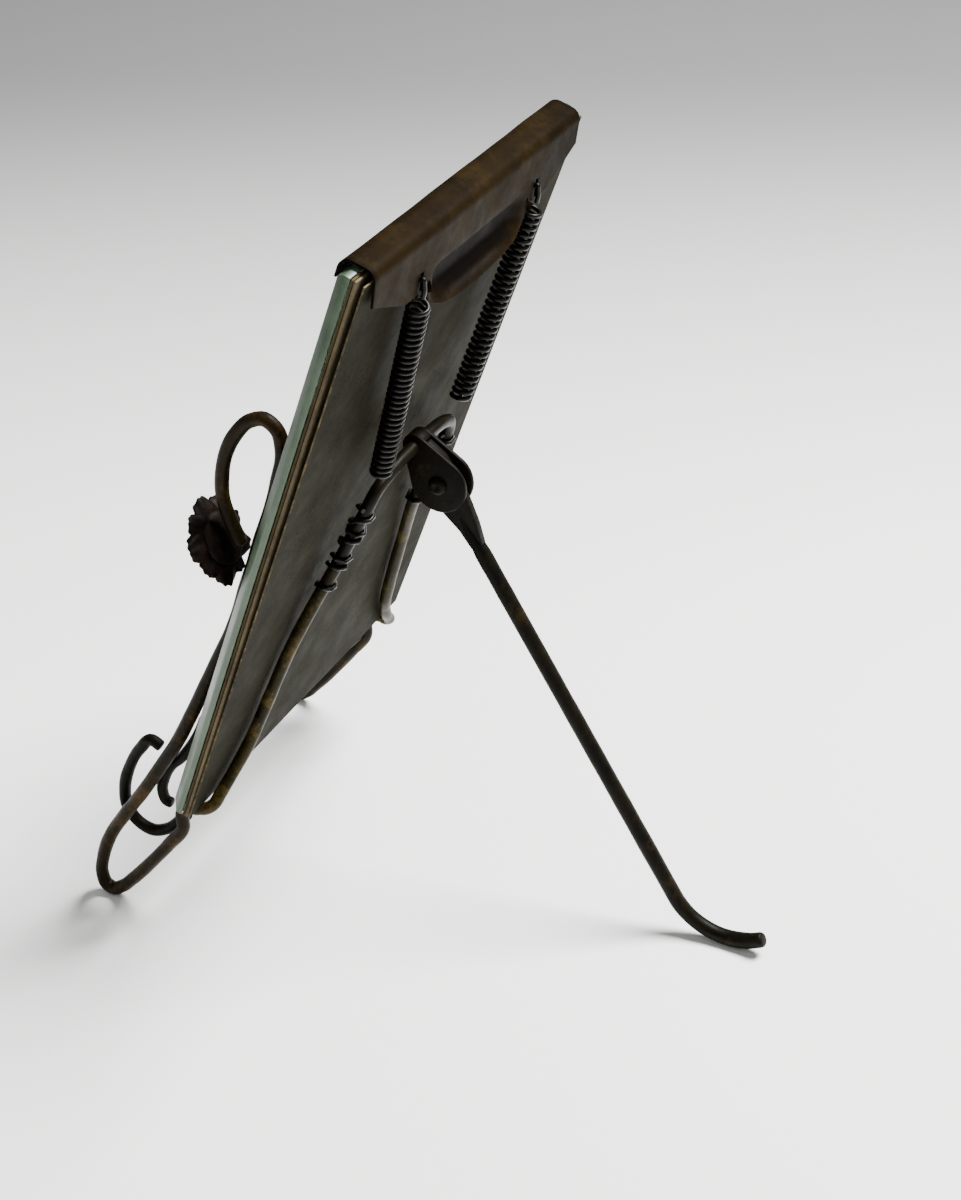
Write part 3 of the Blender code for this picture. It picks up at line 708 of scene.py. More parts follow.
@dataclass
class GlassPack:
    """The glass plate, the two cards behind it and the tin plate that closes the pack."""

    finishes: Finishes
    bevel: float = 0.0019
    plate_inset: float = 0.0008
    plate_cells: tuple[int, int] = (72, 104)
    plate_wave: float = 0.00016

    def build_glass(self) -> None:
        """Grind the bevel round the front of the glass and soften every edge."""
        bpy.ops.object.select_all(action="DESELECT")
        bpy.ops.mesh.primitive_cube_add(size=1.0, location=(0.0, 0.0, 0.0))
        glass = started("glass_pane")
        half, tall, front = PLANE.width / 2, PLANE.height, PLANE.glass_front
        for vertex in glass.data.vertices:
            vertex.co = PLANE.point(
                math.copysign(half, vertex.co.x),
                front + self.bevel if vertex.co.y < 0 else 0.0,
                tall if vertex.co.z > 0 else 0.0,
            )
        out = (PLANE.point(0, front, 0) - PLANE.point(0, 0, 0)).normalized()
        bpy.ops.object.mode_set(mode="EDIT")
        bpy.ops.mesh.select_all(action="DESELECT")
        bpy.ops.object.mode_set(mode="OBJECT")
        for face in glass.data.polygons:
            face.select = face.normal.dot(out) > 0.9
        bpy.ops.object.mode_set(mode="EDIT")
        bpy.ops.mesh.extrude_region_move(TRANSFORM_OT_translate={"value": tuple(out * self.bevel)})
        bpy.ops.object.mode_set(mode="OBJECT")
        middle = PLANE.point(0.0, front, tall / 2)
        up = (PLANE.point(0, 0, 1) - PLANE.point(0, 0, 0)).normalized()
        for vertex in glass.data.vertices:
            if (vertex.co - middle).dot(out) > -1e-5:
                offset = vertex.co - middle
                side, rise = offset.x, offset.dot(up)
                inward = Vector((math.copysign(self.bevel, side), 0.0, 0.0))
                vertex.co -= inward + up * math.copysign(self.bevel, rise)
        apply_modifier(glass, "BEVEL", width=0.00022, segments=2, limit_method="ANGLE",
                       angle_limit=math.radians(20.0))
        close_and_face_out(glass)
        smooth(glass, 25.0)
        dress(glass, Body.STAND, "green_glass", ["glass_plate"],
              self.finishes.glass, self.finishes.glass_edge)
        for face in glass.data.polygons:
            face.material_index = 0 if abs(face.normal.dot(out)) > 0.99 else 1

    def build_plate(self) -> None:
        """Beat the tin plate slightly out of flat, as thin sheet sits."""
        across, up = self.plate_cells
        bpy.ops.object.select_all(action="DESELECT")
        bpy.ops.mesh.primitive_grid_add(
            x_subdivisions=across, y_subdivisions=up, size=1.0, location=(0, 0, 0))
        plate = started("tin_plate")
        half, tall = PLANE.width / 2 - self.plate_inset, PLANE.height - self.plate_inset
        for vertex in plate.data.vertices:
            x, height = vertex.co.x * 2 * half, (vertex.co.y + 0.5) * tall
            spread = Vector((x * 16.0, height * 9.0, 2.0))
            wave = self.plate_wave * noise.noise(spread) + self.plate_wave * 0.35 * noise.noise(spread * 3.0)
            depth = PLANE.plate_back(height) - PLANE.plate_thick / 2 + wave
            vertex.co = PLANE.point(x, depth, height)
        apply_modifier(plate, "SOLIDIFY", thickness=PLANE.plate_thick, offset=0.0)
        close_and_face_out(plate)
        smooth(plate, 40.0)
        dress(plate, Body.STAND, "grey_tin", ["back_plate"], self.finishes.tin, self.finishes.plate_edge_and_highlight)
        # Faces square to the plate get the tin; its edge faces get the yellowed edge colour with its painted
        # highlight.
        out = (PLANE.point(0, 1, 0) - PLANE.point(0, 0, 0)).normalized()
        for face in plate.data.polygons:
            face.material_index = 0 if abs(face.normal.dot(out)) > 0.7 else 1

    def build(self) -> None:
        """Build the pack from the front to the back."""
        self.build_glass()
        self.build_plate()
        paint("photo_card", self.finishes.mount_card)
        paint("backing_card", self.finishes.cream_card)


def paint(node: str, finish: bpy.types.Material) -> None:
    """Give a kept CAD node a better material."""
    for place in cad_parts[node].material_slots:
        place.material = finish
    LOG.info("%s: kept, in %s", node, finish.name)


# ---------------------------------------------------------------- the clip and its springs


@dataclass
class TopClip:
    """A folded sheet clip: a blank with two slits, two cut corners and a thumb lobe, bent over the glass."""

    finishes: Finishes
    length: float = 0.0980
    sheet: float = 0.0005
    top: float = 0.1510
    lip: float = 0.0045
    lip_depth: float = -0.0040
    flap_depth: float = 0.0035
    bend: float = 0.0022
    flap_bottom: float = 0.1385
    flare: float = 0.0020
    corner_run: float = 0.0150
    corner_rise: float = 0.0055
    slit_middle: float = 0.0277
    slit_half: float = 0.0009
    lobe_half: float = 0.0240
    lobe_drop: float = 0.0082
    lobe_flare: float = 0.0014
    lobe_dish: float = 0.0022
    flap_rows: int = 32
    slit_row: int = 18

    def columns(self) -> list[float]:
        """List where the blank's columns of points lie along X, from left to right."""
        half = self.length / 2
        outer = [
            half, half - 0.0008, half - 0.0020, half - 0.0040, 0.0430, 0.0405, 0.0380, 0.0360,
            half - self.corner_run, 0.0320, 0.0302,
            self.slit_middle + self.slit_half, self.slit_middle - self.slit_half, 0.0254,
        ]
        angles = (0.01, 2, 5, 8, 12, 16, 21, 27, 34, 42, 50, 58, 66, 74, 82)
        lobe = [self.lobe_half * math.cos(math.radians(angle)) for angle in angles]
        right = outer + lobe
        return [-x for x in right] + [0.0] + right[::-1]

    def bottom(self, x: float) -> float:
        """Give the height at which the flap or its lobe ends at a place along X."""
        away = abs(x)
        if away < self.lobe_half:
            rise = math.sqrt(max(1.0 - (away / self.lobe_half) ** 2, 0.0))
            return self.flap_bottom + 0.0004 - self.lobe_drop * rise**0.6
        cut = max(away - (self.length / 2 - self.corner_run), 0.0)
        return self.flap_bottom + cut * self.corner_rise / self.corner_run

    def fold(self) -> list[Pair]:
        """List the (depth, height) of each row from the lip's edge over the top to the start of the flap."""
        shoulder = self.top - self.bend
        lip_foot = self.top - self.lip
        rows = [(self.lip_depth, lip_foot + (shoulder - lip_foot) * i / 3) for i in range(3)]
        rows += arc((self.lip_depth + self.bend, shoulder), self.bend, 180.0, 90.0, 5)
        span = self.flap_depth - self.bend - (self.lip_depth + self.bend)
        rows += [(self.lip_depth + self.bend + span * i / 5, self.top) for i in range(1, 5)]
        rows += arc((self.flap_depth - self.bend, shoulder), self.bend, 90.0, 0.0, 5)
        return rows

    def flap_point(self, x: float, share: float) -> Pair:
        """Give the (depth, height) on the flap at a place along X.

        Args:
            x: The place along X.
            share: How far down the flap, from 0 at its bend to 1 at its edge.

        Returns:
            The depth and height.
        """
        start = self.top - self.bend
        height = start + (self.bottom(x) - start) * share
        depth = self.flap_depth + self.flare * min((start - height) / (start - self.flap_bottom), 1.0)
        below = max(self.flap_bottom + 0.0004 - height, 0.0)
        depth += self.lobe_flare / self.lobe_drop * below
        across = abs(x) / (self.lobe_half - 0.0012)
        if across < 1.0:
            edge = min((1.0 - across**2) * 2.6, 1.0)
            above, under = self.flap_bottom + 0.0016, self.flap_bottom - self.lobe_drop * 0.52
            middle = (above + under) / 2
            reach = (above - under) / 2 * (1.35 if height > middle else 0.95)
            hollow = math.exp(-((height - middle) / reach) ** 4) * edge * edge * (3 - 2 * edge)
            curl = max(1.0 - (height - self.bottom(x)) / 0.0024, 0.0)
            depth += 0.0009 * curl**2 * edge - self.lobe_dish * hollow
        return depth, height

    def painted_shade_and_darkening(self, clip: bpy.types.Object) -> None:
        """Store each point's mark for the darker colour: painted shade in the lobe's hollow and round the
        slits, and plain darkening along the ends.
        """
        foot = PLANE.point(0, 0, 0)
        up = PLANE.point(0, 0, 1) - foot
        marks = clip.data.attributes.new(SHADE_AND_DARKENING, "FLOAT", "POINT")
        middle = self.flap_bottom - self.lobe_drop * 0.18
        for vertex, mark in zip(clip.data.vertices, marks.data):
            x, height = vertex.co.x, (vertex.co - foot).dot(up)
            # hollow and slit are painted shade; end is plain darkening along the clip's ends.
            hollow = math.exp(-((height - middle) / 0.0040) ** 4) * math.exp(-(x / 0.0225) ** 6)
            slit = math.exp(-((abs(x) - self.slit_middle) / 0.0026) ** 2) * math.exp(
                -((height - self.flap_bottom - 0.0022) / 0.0042) ** 2)
            end = math.exp(-((abs(x) - self.length / 2) / 0.0016) ** 2) * 0.55
            mark.value = min(0.85 * hollow + 0.9 * slit + end, 1.0)

    def build(self) -> None:
        """Cut the blank, bend it, thicken it and soften its edges."""
        columns, fold = self.columns(), self.fold()
        rows = len(fold) + self.flap_rows
        bpy.ops.object.select_all(action="DESELECT")
        bpy.ops.mesh.primitive_grid_add(
            x_subdivisions=len(columns) - 1, y_subdivisions=rows - 1, size=1.0, location=(0, 0, 0))
        clip = started("folded_clip")
        cut = []
        for vertex in clip.data.vertices:
            i = round((vertex.co.x + 0.5) * (len(columns) - 1))
            j = round((vertex.co.y + 0.5) * (rows - 1))
            x = columns[i]
            if j < len(fold):
                depth, height = fold[j]
            else:
                share = (j - len(fold) + 1) / self.flap_rows
                depth, height = self.flap_point(x, share)
            rough = Vector((x * 90.0, height * 90.0, depth * 90.0))
            depth += 0.00012 * noise.noise(rough)
            height += 0.00010 * noise.noise(rough + Vector((7.0, 0.0, 0.0)))
            vertex.co = PLANE.point(x, depth, height)
            inside_slit = abs(abs(x) - self.slit_middle) < self.slit_half + 1e-6
            if inside_slit and j >= len(fold) - 1 + self.slit_row:
                cut.append(vertex.index)
        gone = set(cut)
        bpy.ops.object.mode_set(mode="EDIT")
        bpy.ops.mesh.select_all(action="DESELECT")
        bpy.ops.object.mode_set(mode="OBJECT")
        for face in clip.data.polygons:
            face.select = all(index in gone for index in face.vertices)
        bpy.ops.object.mode_set(mode="EDIT")
        bpy.ops.mesh.delete(type="FACE")
        bpy.ops.mesh.select_all(action="SELECT")
        bpy.ops.mesh.normals_make_consistent(inside=False)
        bpy.ops.object.mode_set(mode="OBJECT")
        crest = max(clip.data.polygons, key=lambda face: face.center.z)
        outward = 1.0 if crest.normal.z > 0 else -1.0
        apply_modifier(clip, "SOLIDIFY", thickness=self.sheet, offset=outward, use_even_offset=True)
        apply_modifier(clip, "BEVEL", width=0.00012, segments=2, limit_method="ANGLE",
                       angle_limit=math.radians(50.0))
        smooth(clip, 40.0)
        self.painted_shade_and_darkening(clip)
        dress(clip, Body.CLIP, "bronzed_sheet", ["top_clip"], self.finishes.sheet)


@dataclass
class Spring:
    """An extension spring from the crossbar up to the clip's ear, with its hook and its wound tail."""

    finishes: Finishes
    hand: Hand
    arm: list[Vector]
    wire: float = 0.00055
    radius: float = 0.00205
    pitch: float = 0.0016
    top_half: float = 0.0277
    bottom_half: float = 0.0195
    top_depth: float = 0.0065
    end_room: float = 0.0022
    ear_height: float = 0.1385
    hook_start: float = 0.1380
    slit_crossing: float = 0.14185
    flap_front: float = 0.0035
    rod_radius: float = 0.0015
    tail_turns: float = 6.5
    tail_top: float = 0.0790
    tail_foot: float = 0.0545

    def coil(self) -> bpy.types.Object:
        """Wind the coil at its resting length; on the real stand it stretches as the clip lifts."""
        side = self.hand.value
        low = PLANE.point(
            side * self.bottom_half, PLANE.crossbar_depth, PLANE.crossbar_height + self.end_room)
        high = PLANE.point(side * self.top_half, self.top_depth, self.ear_height - self.end_room)
        along = (high - low).normalized()
        out = PLANE.point(0, 1, 0) - PLANE.point(0, 0, 0)
        first = along.cross(out).normalized()
        second = along.cross(first)
        turns = (high - low).length / self.pitch
        steps = round(turns * 20)
        path = []
        for i in range(steps + 1):
            turn = 2 * math.pi * turns * i / steps
            ring = first * math.cos(turn) + second * math.sin(turn)
            path.append(low + (high - low) * i / steps + ring * self.radius)
        coil = bent_rod(f"spring_coil_{self.hand.word}", path, self.wire, roundness=2)
        coil.data.materials.append(self.finishes.wire)
        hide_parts(f"spring_{self.hand.word}")
        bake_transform(coil)
        return coil

    def hook(self) -> bpy.types.Object:
        """Bend the hook that passes through the ear's slit."""
        x, start, crossing = self.hand.value * self.top_half, self.hook_start, self.slit_crossing
        inside = self.flap_front + FIT_GAP + self.wire + 0.0001
        knots = [
            (self.top_depth + 0.0004, start), (self.top_depth + 0.0002, start + 0.0018),
            (self.top_depth - 0.0002, crossing - 0.0010), (inside + 0.0014, crossing),
            (inside + 0.0002, crossing - 0.0008),
        ]
        path = smooth_path([PLANE.point(x, depth, height) for depth, height in knots], 8)
        hook = bent_rod(f"spring_eye_{self.hand.word}", path, self.wire, roundness=3)
        dress(hook, Body.CLIP, "spring_wire", [f"spring_hook_{self.hand.word}"], self.finishes.wire)
        return hook

    def tail(self) -> bpy.types.Object:
        """Wind the wire's lower end round the arm of the back rod."""
        low, high = PLANE.point(0, 0, self.tail_foot).z, PLANE.point(0, 0, self.tail_top).z
        depth_out = PLANE.point(0, 1, 0) - PLANE.point(0, 0, 0)
        up = PLANE.point(0, 0, 1) - PLANE.point(0, 0, 0)
        foot = PLANE.point(0, 0, 0)
        arm = [point for point in self.arm if self.tail_foot <= (point - foot).dot(up) <= self.tail_top]
        reach = self.rod_radius + self.wire
        path = []
        for i, point in enumerate(arm):
            along = (arm[min(i + 1, len(arm) - 1)] - arm[max(i - 1, 0)]).normalized()
            first = along.cross(depth_out).normalized()
            second = along.cross(first)
            share = i / (len(arm) - 1)
            turn = 2 * math.pi * (self.tail_turns * share + 0.30 * math.sin(2 * math.pi * 3 * share))
            path.append(point + (first * math.cos(turn) + second * math.sin(turn)) * reach)
        tail = bent_rod(f"spring_wrap_{self.hand.word}", path, self.wire, roundness=3)
        dress(tail, Body.STAND, "spring_wire", [f"spring_tail_{self.hand.word}"], self.finishes.wire)
        return tail

    def build(self) -> None:
        """Build the coil, its hook and its tail."""
        self.coil()
        self.hook()
        self.tail()


# ---------------------------------------------------------------- the ironwork


@dataclass
class FrontIronwork:
    """One side's bent rods at the front: the scroll that it stands on, its cradle, hook and flower."""

    finishes: Finishes
    hand: Hand
    scroll_radius: float = 0.0016
    scroll_x: float = 0.0460
    draw_in: float = 0.0038
    draw_from: float = 0.0360
    draw_to: float = 0.0850
    cradle_radius: float = 0.00145
    hook_radius: float = 0.00135
    cradle_x: float = 0.04265

    def scroll_half(self, height: float) -> float:
        """Give how far from the middle the scroll stands at a height above the table."""
        share = (height - self.draw_from) / (self.draw_to - self.draw_from)
        return self.scroll_x - self.draw_in * min(max(share, 0.0), 1.0)

    def scroll(self) -> bpy.types.Object:
        """Bend the long scroll: crozier, stem, foot loop and the end that meets the back rod."""
        stem = PLANE.glass_front - FIT_GAP - self.scroll_radius
        leaning = [
            (0.0710, -0.0090), (0.0729, -0.0107), (0.0761, -0.0136), (0.0801, -0.0162), (0.0847, -0.0176),
            (0.0906, -0.0182), (0.0963, -0.0173), (0.1011, -0.0151), (0.1033, -0.0121), (0.1024, -0.0088),
            (0.0990, -0.0067), (0.0900, stem - 0.0002), (0.0750, stem), (0.0600, stem), (0.0500, stem),
            (0.0352, -0.0065), (0.0210, -0.0078), (0.0118, -0.0089), (0.0031, -0.0107), (-0.0068, -0.0129),
            (-0.0175, -0.0158),
        ]
        lift, low = PLANE.lift, self.scroll_radius
        loop = [
            (-0.0251, lift - 0.0186), (-0.0280, lift - 0.0260), (-0.0289, low + 0.0034),
            (-0.0280, low + 0.0007), (-0.0260, low), (-0.0235, low + 0.0014), (-0.0198, low + 0.0052),
            (-0.0136, lift - 0.0226), (-0.0084, lift - 0.0158), (-0.0042, lift - 0.0098),
        ]
        places = [PLANE.point(0.0, depth, height) for height, depth in leaning]
        places += [Vector((0.0, y + PLANE.shift, z)) for y, z in loop]
        places += [PLANE.point(0.0, -0.0020, -0.0052), PLANE.point(0.0, -0.0004, -0.0036)]
        knots = [Vector((self.hand.value * self.scroll_half(p.z), p.y, p.z)) for p in places]
        rod = hammered_rod(f"scroll_rod_{self.hand.word}", smooth_path(knots, 8), self.scroll_radius,
                           0.07, 3.0 + self.hand.value, roundness=7)
        dress(rod, Body.STAND, "dark_bronzed_iron", [f"front_scroll_{self.hand.word}"],
              self.finishes.worn_iron)
        return rod

    def cradle(self) -> bpy.types.Object:
        """Bend the small open scroll beside the foot loop."""
        lift, shift, x = PLANE.lift, PLANE.shift, self.hand.value * self.cradle_x
        knots = [
            (-0.0105, lift + 0.0095), (-0.0130, lift + 0.0107), (-0.0165, lift + 0.0072),
            (-0.0200, lift + 0.0010), (-0.0220, lift - 0.0055), (-0.0219, lift - 0.0110),
            (-0.0193, lift - 0.0148), (-0.0153, lift - 0.0162), (-0.0110, lift - 0.0145),
            (-0.0072, lift - 0.0108), (-0.0048, lift - 0.0080),
        ]
        path = smooth_path([Vector((x, y + shift, z)) for y, z in knots], 8)
        rod = hammered_rod(
            f"cradle_rod_{self.hand.word}", path, self.cradle_radius, 0.06, 9.0 + self.hand.value)
        dress(rod, Body.STAND, "dark_bronzed_iron", [f"cradle_scroll_{self.hand.word}"], self.finishes.iron)
        return rod

    def glass_hook(self) -> bpy.types.Object:
        """Bend the short hook that turns in under the glass."""
        back, x = PLANE.glass_front - FIT_GAP - self.hook_radius, self.hand.value * self.cradle_x
        knots = [
            (back, 0.0210), (back - 0.0003, 0.0160), (-0.0062, 0.0105), (-0.0077, 0.0056), (-0.0094, 0.0020),
            (-0.0101, -0.0026), (-0.0096, -0.0070), (-0.0080, -0.0090), (-0.0063, -0.0088),
        ]
        places = [PLANE.point(x, depth, height) for depth, height in knots]
        rod = hammered_rod(
            f"hook_rod_{self.hand.word}", smooth_path(places, 8), self.hook_radius, 0.06,
            15.0 + self.hand.value)
        dress(rod, Body.STAND, "dark_bronzed_iron", [f"glass_hook_{self.hand.word}"], self.finishes.iron)
        return rod

    def build(self) -> None:
        """Build the side's rods and its flower."""
        self.scroll()
        self.cradle()
        self.glass_hook()
        tip = PLANE.point(self.hand.value * (self.scroll_x - self.draw_in), -0.0137, 0.0697)
        Rosette(self.finishes, self.hand, tip).build()


@dataclass
class Rosette:
    """A cast flower with two rings of cupped, ragged petals and a beaded heart."""

    finishes: Finishes
    hand: Hand
    centre: Vector
    radius: float = 0.0100
    petals: int = 9
    inner_petals: int = 7
    tilt: float = math.radians(26.0)

    def petal(self, name: str, length: float, width: float, cup: float, lift: float) -> bpy.types.Object:
        """Model one petal along X from a grid.

        Args:
            name: The petal's name.
            length: How far it reaches from the flower's middle.
            width: Its greatest width.
            cup: How far its middle sinks below its rim.
            lift: How far its tip rises.

        Returns:
            The petal.
        """
        bpy.ops.object.select_all(action="DESELECT")
        bpy.ops.mesh.primitive_grid_add(
            x_subdivisions=10, y_subdivisions=8, size=1.0, location=(0, 0, 0))
        petal = started(name)
        for vertex in petal.data.vertices:
            along, across = vertex.co.x + 0.5, vertex.co.y * 2.0
            swell = math.sin(math.pi * min(0.16 + 0.66 * along, 1.0)) ** 0.8
            half = width / 2 * swell
            ragged = 1.0 + 0.05 * math.sin(across * 9.0 + along * 4.0)
            reach = length * (0.16 + 0.84 * along * (1.0 - 0.16 * across**2)) * ragged
            rise = lift * along**2 + cup * (across**2 - 0.5) * along + 0.0002 * math.sin(across * 7.0)
            vertex.co = (reach, across * half, rise)
        apply_modifier(petal, "SOLIDIFY", thickness=0.0007, offset=0.0)
        apply_modifier(petal, "SUBSURF", levels=1, render_levels=1)
        return petal

    def ring(self, name: str, count: int, start: float, *sizes: float) -> list[bpy.types.Object]:
        """Copy one petal round the flower's axis.

        Args:
            name: The petals' name.
            count: How many there are.
            start: The first one's angle in radians.
            sizes: The petal's length, width, cup and lift.

        Returns:
            The petals.
        """
        first = self.petal(name, *sizes)
        made = []
        for i in range(count):
            copy = first.copy()
            copy.data = first.data.copy()
            bpy.context.scene.collection.objects.link(copy)
            size = 1.0 + 0.05 * math.sin(2.7 * i + self.hand.value)
            turn = Matrix.Rotation(start + 2 * math.pi * i / count, 4, "Z")
            roll = Matrix.Rotation(0.10 * math.sin(1.9 * i), 4, "X")
            copy.data.transform(turn @ roll @ Matrix.Scale(size, 4))
            made.append(copy)
        bpy.data.objects.remove(first)
        return made

    def heart(self) -> list[bpy.types.Object]:
        """Model the flower's beaded heart and the cast boss behind it."""
        made = []
        for place, size in ((Vector((0.0, 0.0, 0.0011)), (0.0021, 0.0021, 0.0013)),
                            (Vector((0.0, 0.0, -0.0005)), (0.0060, 0.0060, 0.0013))):
            bpy.ops.object.select_all(action="DESELECT")
            bpy.ops.mesh.primitive_uv_sphere_add(
                segments=20, ring_count=12, radius=1.0, location=place, scale=size)
            made.append(started("heart"))
            apply_place(made[-1])
            for vertex in made[-1].data.vertices:
                vertex.co += Vector((1, 1, 0.6)) * 0.00025 * noise.noise(vertex.co * 900.0)
        for i in range(7):
            turn = 2 * math.pi * i / 7
            bpy.ops.object.select_all(action="DESELECT")
            bpy.ops.mesh.primitive_ico_sphere_add(
                subdivisions=2, radius=0.00062,
                location=(0.0019 * math.cos(turn), 0.0019 * math.sin(turn), 0.0018))
            made.append(started("bead"))
            apply_place(made[-1])
        return made

    def build(self) -> bpy.types.Object:
        """Assemble the flower and set it on the crozier's tip."""
        pieces = self.ring("petal", self.petals, 0.2, self.radius, 0.0072, 0.0010, 0.0014)
        pieces += self.ring("inner_petal", self.inner_petals, 0.5, self.radius * 0.62, 0.0052, 0.0012, 0.0024)
        pieces += self.heart()
        flower = joined(f"flower_{self.hand.word}", pieces)
        place = Matrix.Translation(self.centre) @ Matrix.Rotation(math.pi / 2 + self.tilt, 4, "X")
        flower.data.transform(place)
        close_and_face_out(flower, 1e-8)
        smooth(flower, 50.0)
        dress(flower, Body.STAND, "dark_bronzed_iron", [f"rosette_{self.hand.word}"], self.finishes.flower)
        return flower


@dataclass
class BackRod:
    """The rod bent to an arch behind the plate, with the crossbar that carries the hinge."""

    finishes: Finishes
    radius: float = 0.0015
    crossbar_half: float = 0.0190
    sag: float = 0.0030
    near: float = 0.0040
    scroll_x: float = 0.0460
    foot_inset: float = 0.0035

    def arm(self, side: int) -> list[Vector]:
        """List the points of one arm, from its hook under the glass up to the crossbar's end.

        Args:
            side: The sign of X on the arm's side.

        Returns:
            The points.
        """
        near, top, bar = self.near, PLANE.crossbar_height - self.sag, PLANE.crossbar_depth
        foot, half = self.scroll_x - self.foot_inset, self.crossbar_half
        knots = [
            (self.scroll_x, near - 0.0038, -0.0033), (self.scroll_x - 0.0001, near - 0.0027, -0.0023),
            (self.scroll_x - 0.0008, near - 0.0013, -0.0018), (foot + 0.0018, near - 0.0001, -0.0003),
            (foot - 0.0004, near, 0.0020), (foot - 0.0038, near, 0.0058),
            (half + 0.0152, near + 0.0001, 0.0130), (half + 0.0127, near + 0.0001, 0.0220),
            (half + 0.0089, near + 0.0003, 0.0400), (half + 0.0048, near + 0.0010, 0.0520),
            (half + 0.0021, near + 0.0020, 0.0615), (half + 0.0010, bar - 0.0011, 0.0710),
            (half + 0.0008, bar - 0.0001, top - 0.0045), (half - 0.0008, bar, top - 0.0008),
        ]
        return [PLANE.point(side * x, depth, height) for x, depth, height in knots]

    def build(self) -> bpy.types.Object:
        """Bend the whole rod."""
        half, bar = self.crossbar_half, PLANE.crossbar_depth
        middle = [
            PLANE.point(side * share * half, bar, PLANE.crossbar_height - self.sag * share**2)
            for side, share in ((1, 0.75), (1, 0.16), (-1, 0.16), (-1, 0.75))
        ]
        knots = self.arm(1) + middle + self.arm(-1)[::-1]
        rod = hammered_rod("arch_rod", smooth_path(knots, 8), self.radius, 0.06, 21.0, roundness=7)
        # The stored mark makes the rod darker towards its top, from nothing at 0.078 m up to full at 0.100 m
        # above the table.
        marks = rod.data.attributes.new(SHADE_AND_DARKENING, "FLOAT", "POINT")
        for vertex, mark in zip(rod.data.vertices, marks.data):
            mark.value = min(max((vertex.co.z - 0.078) / 0.022, 0.0), 1.0)
        dress(rod, Body.STAND, "aged_brass_rod", ["back_rod"], self.finishes.brass)
        return rod


